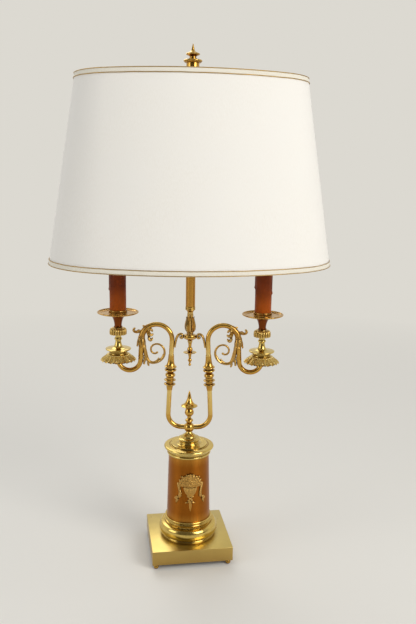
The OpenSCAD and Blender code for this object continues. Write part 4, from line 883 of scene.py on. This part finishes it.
# %% Places on an arm
ARM_LEAN = math.radians(2.6)
HUB_Z = (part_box("arm_hub")[0].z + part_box("arm_hub")[1].z) / 2 / MM
ARM_X, ARM_R, ARCH_R = 34.0, 3.75, 23.5
ARCH_RISE = 139.1
ARCH_X, DROP_X = ARM_X + ARCH_R, ARM_X + 2 * ARCH_R
ARCH_Z = HUB_Z + ARCH_RISE
CALYX_H, CALYX_TOP = 17.0, 4
CALYX_Z = ARCH_Z + CALYX_TOP - CALYX_H
DEPTH = Vector((0, 1, 0))


def tip_in(casting, side):
    """Leans a finished arm ornament in about the hub, and mirrors it for the left side."""
    for i, (x, y, z) in enumerate(casting.verts):
        rise = z - HUB_Z
        leaned_x = x * math.cos(ARM_LEAN) - rise * math.sin(ARM_LEAN)
        leaned_z = HUB_Z + x * math.sin(ARM_LEAN) + rise * math.cos(ARM_LEAN)
        casting.verts[i] = (side * leaned_x, y, leaned_z)


def at_drop(x, z):
    """A point in the arm's plane, measured from the top of its dropping run."""
    return Vector((DROP_X + x, 0, ARCH_Z + z))


def at_calyx(x, z):
    return Vector((DROP_X + x, 0, CALYX_Z + z))


def plane_curve(place, p, q, r, s, n):
    return [place(v.x, v.y) for v in curve((*p, 0), (*q, 0), (*r, 0), (*s, 0), n)]


print("hub at", round(HUB_Z, 1), "mm, top of the arch at", round(ARCH_Z + ARCH_R, 1), "mm")

# %% [markdown]
# The leaf sheath covers the outer part of the arch. On the real arm it is one casting with a scooped
# leaf outside, a small tip above and a lobed leaf inside. Thick tubes under the leaf give each lobe its
# body, because a leaf alone would be too thin to look cast.

# %% Leaf sheath
SHEATH_ANGLE, SHEATH_STEPS = 56, 12
STANDING_RADII = [2.4, 2.4, 2.3, 2.2, 2.0, 1.8, 1.6, 1.3, 0.8]
LOBE_RADII = [2.3, 2.5, 2.6, 2.6, 2.5, 2.4, 2.2, 2.0, 1.8, 1.4]
LOBES = (((-9.4, 13.6), (-11.6, 15.6), (-14.6, 15.6), (-16.0, 12.6)),
         ((-10.6, 8.2), (-12.8, 6.2), (-15.6, 5.2), (-16.9, 7.6)),
         ((-11.2, 2.6), (-11.6, -2.6), (-15.6, -3.2), (-16.6, 1.0)))


def arm_leaves():
    """Leaf sheath on the arch: a scooped leaf outside, a small tip above, a lobed leaf inside."""
    casting = Casting()
    arch = [Vector((ARCH_X + ARCH_R * math.cos(a), 0, ARCH_Z + ARCH_R * math.sin(a)))
            for a in (math.radians(SHEATH_ANGLE * k / SHEATH_STEPS) for k in range(SHEATH_STEPS + 1))]
    tube(casting, arch, [ARM_R + 1.0 - 0.5 * (k / SHEATH_STEPS) ** 3 for k in range(len(arch))], 20)
    scoop = plane_curve(at_drop, (-1.0, 12.6), (3.6, 9.4), (7.8, 8.0), (11.2, 9.2), 10)
    scoop += plane_curve(at_drop, (12.2, 9.8), (13.9, 11.6), (14.2, 14.4), (11.4, 14.9), 6)
    leaf(casting, scoop, -DEPTH, 4.1, thick=2.4, rib=0.5, droop=-0.9, lobes=2, notch=0.42, columns=13)
    last = len(scoop) - 1
    tube(casting, scoop, [1.9 - 0.9 * k / last for k in range(last + 1)], 12, DEPTH, 1.2)
    bead(casting, scoop[-1], 1.7, DEPTH, 1.2, 12, 8)
    standing = plane_curve(at_drop, (-9.0, 17.6), (-5.2, 19.4), (-3.0, 18.2), (-0.8, 20.6), 8)
    tube(casting, standing, STANDING_RADII, 12, DEPTH, 1.25)
    flat_leaf = plane_curve(at_drop, (-7.2, 15.8), (-11.2, 12.6), (-11.0, 5), (-11.6, -0.6), 10)
    leaf(casting, flat_leaf, Vector((1, 0, 0)), 3.5, thick=3.6, rib=0.7, droop=0.3, lobes=3, notch=0.15)
    for handles in LOBES:
        lobe = plane_curve(at_drop, *handles, 9)
        tube(casting, lobe, LOBE_RADII, 12, DEPTH, 1.5)
        bead(casting, lobe[-1], 1.5, DEPTH, 1.35, 12, 8)
    return casting


print("leaf sheath vertices:", len(arm_leaves().verts))

# %% [markdown]
# The calyx is a small cup on the dropping run: two rings, and under them a fringe of leaves. The
# rings are spun, because they are round. The leaves are separate, because their tips turn out.

# %% Leaf calyx
CALYX_LEAVES = 8
RING_FROM_TOP = 4.6


def arm_calyx():
    """Two rings and a fringe of leaves that hug the arm and turn out at their tips."""
    casting = Casting()
    ring_z = CALYX_H - RING_FROM_TOP
    bore = ARM_R + 0.5
    outline = [(bore, ring_z), (4.8, ring_z)]
    for centre, radius in ((ring_z + 1.1, 1.1), (ring_z + 3.3, 1.0)):
        outline += [(4.5 + radius * math.cos(a), centre + radius * math.sin(a))
                    for a in (math.radians(-80 + 20 * k) for k in range(9))]
    outline.append((bore, CALYX_H))
    spun(casting, [(r, CALYX_Z + z) for r, z in outline], 40, (DROP_X, 0))
    profile = ((4.8, ring_z + 0.9), (5.4, ring_z - 1.6), (5.9, ring_z - 4), (6.0, ring_z - 6.4),
               (6.0, ring_z - 8.4), (6.3, 2.0), (6.9, 0.8), (7.7, 0.5))
    for k in range(CALYX_LEAVES):
        ray, side = ray_and_side(2 * math.pi * (k + 0.25) / CALYX_LEAVES)
        leaf(casting, beside(DROP_X, CALYX_Z, ray, profile), side, 2.75, thick=1.3, rib=0.5, droop=0.28,
             lobes=2, notch=0.14, widest=0.62)
    return casting


print("calyx vertices:", len(arm_calyx().verts))

# %% [markdown]
# The volute is a branch that leaves the calyx and winds up inside the loop. A spiral whose radius
# shrinks by a steady share per degree keeps the same shape as it tightens, as a drawn scroll does. A
# spiral that loses a steady length per degree would look like a clock spring.

# %% Volute
SPIRAL_X, SPIRAL_Z, SPIRAL_R = ARCH_X + 1.2, ARCH_Z - 17.5, 20.2
SPIRAL_RATE, SPIRAL_TURN, SPIRAL_START = 0.0038, 405.0, -82.0
SPIRAL_STEPS = 60
VOLUTE_TIPS = (((-3.4, -13), (-3.4, -18), (-0.6, -19.5), (-1.5, -23.0), 2.3),
               ((-6.6, -16.5), (-7.4, -21), (-4.8, -23), (-5.8, -26.6), 2.3),
               ((-11.6, -21.5), (-12.6, -24.4), (-11.0, -26.4), (-12.7, -28.8), 2.1),
               ((-22.0, -22.5), (-25.0, -22.5), (-26.6, -20.4), (-27.8, -17.4), 1.9))


def spiral(step):
    """A point of the volute's centre line, which closes by a steady share per degree."""
    t = step / SPIRAL_STEPS
    a = math.radians(SPIRAL_START - SPIRAL_TURN * t)
    r = SPIRAL_R * math.exp(-SPIRAL_RATE * SPIRAL_TURN * t)
    return Vector((SPIRAL_X + r * math.cos(a), 0, SPIRAL_Z + r * math.sin(a)))


def arm_scroll():
    """The volute: a branch that thins as it winds, with leaf tips along its outer side."""
    casting = Casting()
    start = spiral(0)
    lead = curve(at_calyx(-4.6, 2), at_calyx(-6.4, -9), (start.x + 11.5, 0, start.z - 0.8), start, 14)
    path = lead[:-1] + [spiral(k) for k in range(SPIRAL_STEPS + 1)]
    last = len(path) - 1
    radii = [1.5 + 1.5 * max(0.0, 1 - 1.9 * k / last) ** 1.4 for k in range(last + 1)]
    tube(casting, path, radii, 12)
    bead(casting, path[-1], 1.9, DEPTH, 0.8, 12, 8)
    leaf(casting, [p + Vector((-0.6, 0, 0.4)) for p in lead[1:13]], Vector((1, 0, 0)), 3.3, thick=4.4,
         rib=0.8, droop=0.25, lobes=2, notch=0.1, widest=0.5)
    sheath = [spiral(k) for k in range(-1, 12)]
    eye = Vector((SPIRAL_X, 0, SPIRAL_Z))
    inward = [p + (eye - p).normalized() * (0.2 + 0.15 * i) for i, p in enumerate(sheath)]
    leaf(casting, inward, DEPTH, 2.9, thick=2.6, rib=0.5, droop=0.3, lobes=3, notch=0.2, widest=0.6)
    for *handles, fat in VOLUTE_TIPS:
        spine = plane_curve(at_calyx, *handles, 8)
        radii = [fat * (1 - 0.35 * abs(2 * k / 8 - 0.9) ** 1.5) for k in range(9)]
        tube(casting, spine, radii, 12, DEPTH, 1.2)
        bead(casting, spine[-1], fat * 0.8, DEPTH, 1.15, 12, 8)
    return casting


for side, label in SIDES:
    for maker, piece_name, node in ((arm_leaves, "leaf_sheath_", "arm_leaf_"),
                                    (arm_calyx, "leaf_calyx_", "arm_calyx_"),
                                    (arm_scroll, "volute_", "arm_scroll_")):
        casting = maker()
        tip_in(casting, side)
        casting.piece(piece_name + label, gilt_brass, "gilt_brass", "lamp", [node + label])
        print(piece_name + label, "vertices:", len(casting.verts))

# %% [markdown]
# Two C-scrolls tie the arms to the boss in the middle. They stand upright, so they aren't tipped
# with the arms: their lower end is worked out from where the leaning arm stands at that height.

# %% Bridges between the arms and the boss
BOSS_RISE = 6.5
BRIDGE_DROP = 17
BOSS_Z = (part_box("stem_boss")[0].z / MM) + BOSS_RISE
bridge_low_z = BOSS_Z - BRIDGE_DROP
bridge_low_x = (ARM_X - (bridge_low_z - HUB_Z) * math.sin(ARM_LEAN)) / math.cos(ARM_LEAN) - ARM_R - 0.9


def arm_bridge(side):
    """A C-scroll that rises along the arm, bends over to the boss and curls up at its end."""
    casting = Casting()

    def at(x, z):
        return Vector((side * x, 0, BOSS_Z + z))

    path = plane_curve(at, (bridge_low_x, -BRIDGE_DROP), (bridge_low_x - 1.6, -4),
                       (bridge_low_x - 3.4, 3.4), (14.6, 4.2), 14)
    path += plane_curve(at, (13.6, 4.2), (11.2, 3.9), (10.7, 0.4), (11.7, -1.4), 6)
    path += plane_curve(at, (12.2, -1.9), (13.0, -2.6), (14.2, -2.2), (14.3, -1.0), 4)
    last = len(path) - 1
    radii = [1.55 + 0.55 * math.sin(math.pi * k / last) for k in range(last + 1)]
    tube(casting, path, radii, 12, DEPTH, 1.3)
    bead(casting, path[-1], 2.3, DEPTH, 1.1, 12, 8)
    back = [p + Vector((0, 0, 0.9)) for p in path[7:21]]
    leaf(casting, back, DEPTH * -side, 2.8, thick=1.3, rib=0.5, droop=0.2)
    return casting


for side, label in SIDES:
    bridge = arm_bridge(side)
    bridge.piece("bridge_scroll_" + label, gilt_brass, "gilt_brass", "lamp", ["arm_bridge_" + label])
print("bridge foot:", round(bridge_low_x, 1), "mm from the axis")

# %% [markdown]
# ## The leaf vase under the stem
# The vase is a baluster wrapped in upright leaves, with a ring of small reeds at its neck. A bump
# could fake the leaves, but their tips stand off the neck and show in the outline, so they are real.

# %% Leaf vase
vase_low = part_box("stem_vase")[0].z / MM
VASE_LEAVES = 6
NECK_REEDS = 10
VASE_OUTLINE = ((2.8, 0), (4.7, 0), (4.7, 1.8), (5.4, 2.2), (5.4, 3.0), (4.7, 3.8), (5.5, 5.2), (6.6, 8),
                (6.9, 12), (6.4, 17), (5.4, 22), (4.8, 25.6), (4.4, 28), (4.0, 31), (4.2, 34), (2.8, 34))
FRONT_LEAF = ((4.8, 3.4), (5.8, 5.2), (6.9, 8), (7.3, 12), (6.9, 16), (6.0, 20.5), (5.5, 24), (5.8, 26),
              (6.7, 27.2))
BACK_LEAF = ((4.8, 3.2), (5.6, 5.2), (6.6, 8), (7.0, 12), (6.6, 16), (5.7, 20.5), (5.2, 23), (5.3, 25),
             (5.8, 26.2))
REED = ((4.2, 27.4), (4.2, 29), (3.9, 31.2), (4.0, 33.6))

vase = Casting()
spun(vase, [(r, vase_low + z) for r, z in VASE_OUTLINE], 48)
for k in range(VASE_LEAVES):
    for shift, profile, width, thick in ((0.0, FRONT_LEAF, 3.8, 1.4), (0.5, BACK_LEAF, 2.8, 1.1)):
        ray, side = ray_and_side(2 * math.pi * (k + 0.25 + shift) / VASE_LEAVES)
        leaf(vase, beside(0, vase_low, ray, profile), -side, width, thick=thick, rib=0.6, droop=0.22,
             widest=0.35)
for k in range(NECK_REEDS):
    ray = ray_and_side(2 * math.pi * k / NECK_REEDS)[0]
    tube(vase, beside(0, vase_low, ray, REED), [0.5, 0.75, 0.75, 0.5], 8, ray)
vase.piece("leaf_vase", gilt_brass, "satin_brass", "lamp", ["stem_vase"])
print("vase vertices:", len(vase.verts))

# %% [markdown]
# ## Skirts of the candles
# Each candle stands on a spreading skirt of leaves, cast as one ring: long leaves with a rib down
# the middle, and shorter ones showing between their tips. A wavy disc would give the outline but not
# the tips that lie over each other, so the skirt is built leaf by leaf on a spun ring.

# %% Candle skirts
CANDLE_X = 110.5
SKIRT_R, SKIRT_H, SKIRT_LEAVES = 27.2, 11.0, 20
BEAD_RING_R = 16.6
SEAT_OVERLAP = 0.2


def skirt(x):
    casting = Casting()
    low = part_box("candle_skirt_right")[0].z / MM - SEAT_OVERLAP
    spun(casting, [(r, low + z) for r, z in (
        (7.4, SKIRT_H), (16.2, SKIRT_H), (16.9, SKIRT_H - 0.4), (16.9, SKIRT_H - 1.4),
        (17.4, SKIRT_H - 2.0), (19.0, 7.2), (21.6, 4.0), (23.4, 2.4), (22.6, 1.8), (20.4, 3.4),
        (16.4, 7.4), (15.6, SKIRT_H - 1.6), (7.4, SKIRT_H - 1.2))], 80, (x, 0))
    for k in range(2 * SKIRT_LEAVES):
        reach, drop, width = (0.0, 0.0, 4.5) if k % 2 == 0 else (-1.6, 0.5, 3.9)
        ray, side = ray_and_side(math.pi * k / SKIRT_LEAVES)
        profile = ((BEAD_RING_R, SKIRT_H - 1.5), (17.6, 8.8 - drop), (19.4, 7.0 - drop),
                   (21.6, 5.0 - drop), (23.8, 3.2 - drop), (25.4 + reach, 1.9 - drop * 0.5),
                   (26.7 + reach, 0.9), (SKIRT_R + 0.3 + reach, 0.7))
        leaf(casting, beside(x, low, ray, profile), side, width, thick=1.0, rib=0.5, droop=0.26,
             columns=11, widest=0.66)
    for k in range(2 * SKIRT_LEAVES):
        a = math.pi * (k + 0.5) / SKIRT_LEAVES
        place = Vector((x + BEAD_RING_R * math.cos(a), BEAD_RING_R * math.sin(a), low + SKIRT_H - 1.3))
        bead(casting, place, 1.15, UP, 0.9)
    return casting


print("skirt vertices:", len(skirt(CANDLE_X).verts))

# %% [markdown]
# ## Knobs of the candles
# The fluted knob above the skirt is a bell whose lower edge is cut by narrow grooves. The grooves
# could be cut one by one. They repeat evenly and don't overlap, so the bell is spun once, and a wave
# pulls its wall in at each groove.

# %% Fluted knobs
KNOB_R, KNOB_H, KNOB_FLUTES = 13.2, 11.0, 20
GROOVE_DEPTH, GROOVE_LIFT = 1.5, 0.8


def knob(x):
    casting = Casting()
    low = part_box("candle_knob_right")[0].z / MM - SEAT_OVERLAP

    def groove(r, z, a):
        """Narrow grooves between round flutes; the lower edge rises a little in each groove."""
        share = abs(math.sin(KNOB_FLUTES * a / 2)) ** 0.55
        depth = GROOVE_DEPTH * max(0.0, min(1.0, (r - 7.5) / 3))
        lift = GROOVE_LIFT * max(0.0, 1 - (z - low) / 2)
        return r - depth * (1 - share), z + lift * (1 - share)

    outline = [(3.2, 0), (5, 0), (5.4, KNOB_H - 4.4), (10.0, KNOB_H - 4.8), (11.2, 1.2), (11.8, 0.3),
               (12.8, 0.2), (13.1, 1.2), (KNOB_R, 3), (13.2, 5), (12.9, KNOB_H - 3.6), (12.3, KNOB_H - 2.2),
               (11.2, KNOB_H - 1.1), (9.8, KNOB_H - 0.6), (8.4, KNOB_H - 0.8), (7.4, KNOB_H - 0.9),
               (6.9, KNOB_H), (3.2, KNOB_H)]
    spun(casting, [(r, low + z) for r, z in outline], KNOB_FLUTES * 12, (x, 0), groove)
    return casting


for side, label in SIDES:
    leaves, bell = skirt(side * CANDLE_X), knob(side * CANDLE_X)
    leaves.piece("leaf_skirt_" + label, skirt_brass, "gilt_brass", "lamp", ["candle_skirt_" + label])
    bell.piece("fluted_knob_" + label, skirt_brass, "gilt_brass", "lamp", ["candle_knob_" + label])
    print(label, "knob vertices:", len(bell.verts))

# %% [markdown]
# ## Wax sleeves
# The candles are tubes dipped in brown wax. Wax has run down in drips that end in a drop, and the
# sleeve's top edge is soft. Each drip could be a separate blob. Here it is a ridge added to the
# wall's radius, which keeps the sleeve one closed surface.

# %% Wax sleeves
sleeve_low, sleeve_top = (c.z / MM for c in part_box("candle_sleeve_right"))
SLEEVE_R, SLEEVE_WALL = 12.6, 1.1
SLEEVE_LEVELS, SLEEVE_SIDES = 104, 128
RIDGE, DROP = 0.75, 0.7
# Each drip is its direction round the sleeve, in degrees, and its length, in millimetres.
DRIPS = {"left": ((185, 68), (255, 46), (300, 58), (30, 40), (110, 62), (340, 34), (215, 30)),
         "right": ((180, 62), (240, 40), (350, 70), (60, 52), (120, 36), (290, 30), (20, 26))}


def wax_sleeve(x, drips):
    casting = Casting()
    height = sleeve_top - sleeve_low

    def melted(r, z, a):
        """Adds the drips, and a faint waviness, to the outer wall."""
        if r < SLEEVE_R - 0.5:
            return r, z
        run = 0.12 * math.sin(3 * a + 0.05 * z) * math.sin(0.11 * z)
        down = sleeve_top - z
        for degrees, length in drips:
            gap = (math.degrees(a) - degrees + 180) % 360 - 180
            arc_gap = math.radians(gap) * SLEEVE_R
            if down < length + 2:
                from_drop = down - length + 1.2
                ridge = RIDGE + DROP * math.exp(-(from_drop / 1.7) ** 2)
                wide = 1.0 + 0.5 * math.exp(-(from_drop / 2.0) ** 2)
                fade = min(1.0, (length + 2 - down) / 2)
                run += ridge * fade * math.exp(-(arc_gap / wide) ** 2)
        return r + run, z

    outline = [(SLEEVE_R - SLEEVE_WALL, sleeve_low), (SLEEVE_R, sleeve_low)]
    outline += [(SLEEVE_R, sleeve_low + height * k / SLEEVE_LEVELS) for k in range(1, SLEEVE_LEVELS)]
    outline += [(SLEEVE_R - 0.1, sleeve_top - 0.3), (SLEEVE_R - 0.55, sleeve_top),
                (SLEEVE_R - SLEEVE_WALL, sleeve_top)]
    spun(casting, outline, SLEEVE_SIDES, (x, 0), melted)
    return casting


for side, label in SIDES:
    sleeve = wax_sleeve(side * CANDLE_X, DRIPS[label])
    sleeve.piece("wax_sleeve_" + label, amber_wax, "amber_wax", "lamp", ["candle_sleeve_" + label])
    print("drips on the", label, "sleeve:", len(DRIPS[label]))

# %% [markdown]
# ## Candle bulbs
# A bulb is three pieces: a frosted glass candle, a nickel screw cap, and a filament on two supports.
# They turn together when the bulb is screwed in. The glass is a thin wall and not a solid, so that
# light passes through it as through a real bulb.

# %% Bulbs
bulb_low, bulb_top = (c.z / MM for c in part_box("bulb_right"))
CAP_H, CAP_R, BULB_R, GLASS_T = 23.5, 6.8, 17.5, 0.8
THREAD_START, THREAD_DEPTH, THREAD_POINTS, THREAD_STEP = 5, 0.45, 6, 0.55
FILAMENT_Z, FILAMENT_HALF, FILAMENT_R, FILAMENT_STEPS = 50, 3.4, 0.7, 80


def bulb_profile(offset):
    """The glass outline, offset inwards."""
    belly = CAP_H + 0.36 * (bulb_top - bulb_low - CAP_H)
    low = curve((CAP_R, CAP_H + 1, 0), (CAP_R + 2.6, CAP_H + 9, 0), (BULB_R, belly - 14, 0),
                (BULB_R, belly, 0), 12)
    high = curve((BULB_R, belly + 1, 0), (BULB_R, belly + 18, 0), (6, 88, 0), (1.4, 98.6, 0), 18)
    return [(max(0.3, p.x - offset), bulb_low + p.y - (offset if p.y > 90 else 0)) for p in low + high]


def glass_candle(x):
    casting = Casting()
    spun(casting, bulb_profile(0.0) + list(reversed(bulb_profile(GLASS_T))), 48, (x, 0))
    return casting


def screw_cap(x):
    casting = Casting()
    threads = [(CAP_R - 0.1 - THREAD_DEPTH * (1 - math.cos(2 * math.pi * k / THREAD_POINTS)) / 2,
                bulb_low + THREAD_START + THREAD_STEP * k) for k in range(30)]
    spun(casting, [(0.4, bulb_low), (2.2, bulb_low), (4.6, bulb_low + 3), (6.2, bulb_low + 4.2)] + threads
         + [(6.8, bulb_low + CAP_H - 1), (6.4, bulb_low + CAP_H + 1.2), (0.4, bulb_low + CAP_H + 1.2)],
         48, (x, 0))
    return casting


def filament(x):
    """A coiled wire between the tops of two supports."""
    casting = Casting()
    for s in (-1, 1):
        support = [Vector((x + s * out, 0, bulb_low + z)) for out, z in ((1.4, 24), (1.6, 38),
                                                                         (FILAMENT_HALF, FILAMENT_Z))]
        tube(casting, support, 0.3, 6)
    coil = [Vector((x - FILAMENT_HALF + 2 * FILAMENT_HALF * k / FILAMENT_STEPS,
                    FILAMENT_R * math.sin(k * 1.2), bulb_low + FILAMENT_Z + FILAMENT_R * math.cos(k * 1.2)))
            for k in range(FILAMENT_STEPS + 1)]
    tube(casting, coil, 0.14, 5, Vector((0.2, 1, 0.3)))
    return casting


for side, label in SIDES:
    x, body = side * CANDLE_X, "bulb_" + label
    glass_candle(x).piece("bulb_glass_" + label, bulb_glass, "bulb_glass", body, ["bulb_" + label], sharp=80)
    screw_cap(x).piece("bulb_cap_" + label, cap_nickel, "bulb_glass", body)
    filament(x).piece("bulb_filament_" + label, filament_wire, "bulb_glass", body)
print("bulb height:", round(bulb_top - bulb_low, 1), "mm")

# %% [markdown]
# ## The plinth
# The plinth is a folded and soldered box. Its sharp packed corners are eased here by a small bevel,
# because a real edge always catches a thin line of light. Only the long sharp edges are bevelled:
# easing every edge would also bevel the facets of its round holes.

# %% Plinth with eased edges
EASE, EASE_SEGMENTS = 0.00045, 3
LONG_EDGE, SHARP_EDGE = 0.015, math.radians(60)


def eased(node, name, finish):
    """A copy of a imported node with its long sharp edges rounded."""
    mesh = nodes[node].data.copy()
    shaped = bmesh.new()
    shaped.from_mesh(mesh)
    bmesh.ops.remove_doubles(shaped, verts=shaped.verts, dist=1e-6)
    bmesh.ops.dissolve_limit(shaped, angle_limit=math.radians(1), verts=shaped.verts, edges=shaped.edges)
    bmesh.ops.recalc_face_normals(shaped, faces=shaped.faces)
    long_edges = [e for e in shaped.edges if len(e.link_faces) == 2
                  and e.calc_face_angle(0) > SHARP_EDGE and e.calc_length() > LONG_EDGE]
    bmesh.ops.bevel(shaped, geom=long_edges, offset=EASE, segments=EASE_SEGMENTS, profile=0.5,
                    affect="EDGES", clamp_overlap=True)
    shaped.to_mesh(mesh)
    shaped.free()
    mesh.materials.clear()
    mesh.materials.append(finish)
    mesh.shade_smooth()
    mesh.set_sharp_from_angle(angle=math.radians(40))
    obj = bpy.data.objects.new(name, mesh)
    bpy.context.scene.collection.objects.link(obj)
    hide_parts(node)
    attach(obj, "lamp")
    print(name, "edges eased:", len(long_edges))


eased("plinth_shell", "plinth_box", plinth_brass)

# %% [markdown]
# ## Floor and backdrop
# The lamp stands on a plain pale floor. A curved studio paper would hide the horizon too, but it
# would show in other views. Here the floor itself melts into the backdrop's colour with distance
# from the lamp, which is the same all round.

# %% Floor
BACKDROP = srgb(220, 217, 209)
FLOOR_R, FLOOR_SIDES = 9.0, 64
MELT_FROM, MELT_TO = 0.45, 2.0
floor_mesh = bpy.data.meshes.new("floor")
floor_rim = ring(Vector((0, 0, 0)), Vector((1, 0, 0)), DEPTH, FLOOR_R, FLOOR_R, FLOOR_SIDES)
floor_mesh.from_pydata(floor_rim, [], [tuple(range(FLOOR_SIDES))])
floor = bpy.data.objects.new("floor", floor_mesh)
bpy.context.scene.collection.objects.link(floor)
floor_finish, tree, shader = new_finish("floor_finish")
feed(tree, shader, {"Base Color": srgb(242, 239, 230), "Roughness": 0.6})
place = add(tree, "ShaderNodeTexCoord").outputs["Object"]
distance = add(tree, "ShaderNodeVectorMath", {0: place}, operation="LENGTH").outputs["Value"]
far = rescale(tree, distance, MELT_FROM, MELT_TO)
glow = add(tree, "ShaderNodeEmission", {"Color": BACKDROP, "Strength": 1.0})
melt = add(tree, "ShaderNodeMixShader", {0: far, 1: shader.outputs[0], 2: glow.outputs[0]})
feed(tree, tree.nodes["Material Output"], {"Surface": melt.outputs[0]})
floor_mesh.materials.append(floor_finish)
print("floor melts from", MELT_FROM, "to", MELT_TO, "m")

# %% [markdown]
# ## The world
# The world does two jobs. It lights the lamp softly, and it is the pale backdrop that the camera
# sees. Light paths keep the two apart, so a paler backdrop doesn't flood the brass with light.
# Polished metal shows whatever surrounds it, and in an even white room it would look like yellow
# plastic, so in reflections only the world is darker on the viewer's side.

# %% World
world = bpy.data.worlds.new("world")
bpy.context.scene.world = world
world.use_nodes = True
tree = world.node_tree
tree.nodes.clear()
direction = add(tree, "ShaderNodeTexCoord").outputs["Generated"]
parts = add(tree, "ShaderNodeSeparateXYZ", {0: direction})
light_path = add(tree, "ShaderNodeLightPath")
behind_viewer = rescale(tree, parts.outputs["Y"], 0.1, -0.5)
mirrored = math_node(tree, "MULTIPLY", behind_viewer, light_path.outputs["Is Glossy Ray"])
seen = mix_colour(tree, mirrored, BACKDROP, srgb(96, 90, 82))
seen_light = add(tree, "ShaderNodeBackground", {"Color": seen, "Strength": 1.0})
soft_light = add(tree, "ShaderNodeBackground", {"Color": srgb(230, 231, 235), "Strength": 0.5})
shown = math_node(tree, "MAXIMUM", light_path.outputs["Is Camera Ray"], light_path.outputs["Is Glossy Ray"])
shown = math_node(tree, "MAXIMUM", shown, light_path.outputs["Is Transmission Ray"])
chosen = add(tree, "ShaderNodeMixShader", {0: shown, 1: soft_light.outputs[0], 2: seen_light.outputs[0]})
add(tree, "ShaderNodeOutputWorld", {"Surface": chosen.outputs[0]})
print("world nodes:", len(tree.nodes))

# %% [markdown]
# ## Lamps
# One large soft lamp stands in front on the right, a weaker one on the left fills the shadows, and a
# third comes from above and behind and lights the shade's back. Point lamps would be simpler, but
# they leave hard shadows and only dots of light on turned brass.

# %% Lamps
def soft_lamp(name, place, size, power, colour=(1, 1, 1), aim=(0, 0, 0.42)):
    """A square area lamp at place that points at aim, the lamp's middle."""
    data = bpy.data.lights.new(name, "AREA")
    data.shape = "SQUARE"
    data.size = size
    data.energy = power
    data.color = colour
    lamp = bpy.data.objects.new(name, data)
    lamp.location = place
    lamp.rotation_euler = (Vector(aim) - Vector(place)).to_track_quat("-Z", "Y").to_euler()
    bpy.context.scene.collection.objects.link(lamp)


soft_lamp("key_lamp", (1.5, -1.35, 1.35), 1.2, 26, (1.0, 0.985, 0.96))
soft_lamp("fill_lamp", (-1.9, -1.0, 0.9), 1.1, 8, (0.97, 0.985, 1.0))
soft_lamp("back_lamp", (-0.6, 1.5, 1.9), 1.4, 12)
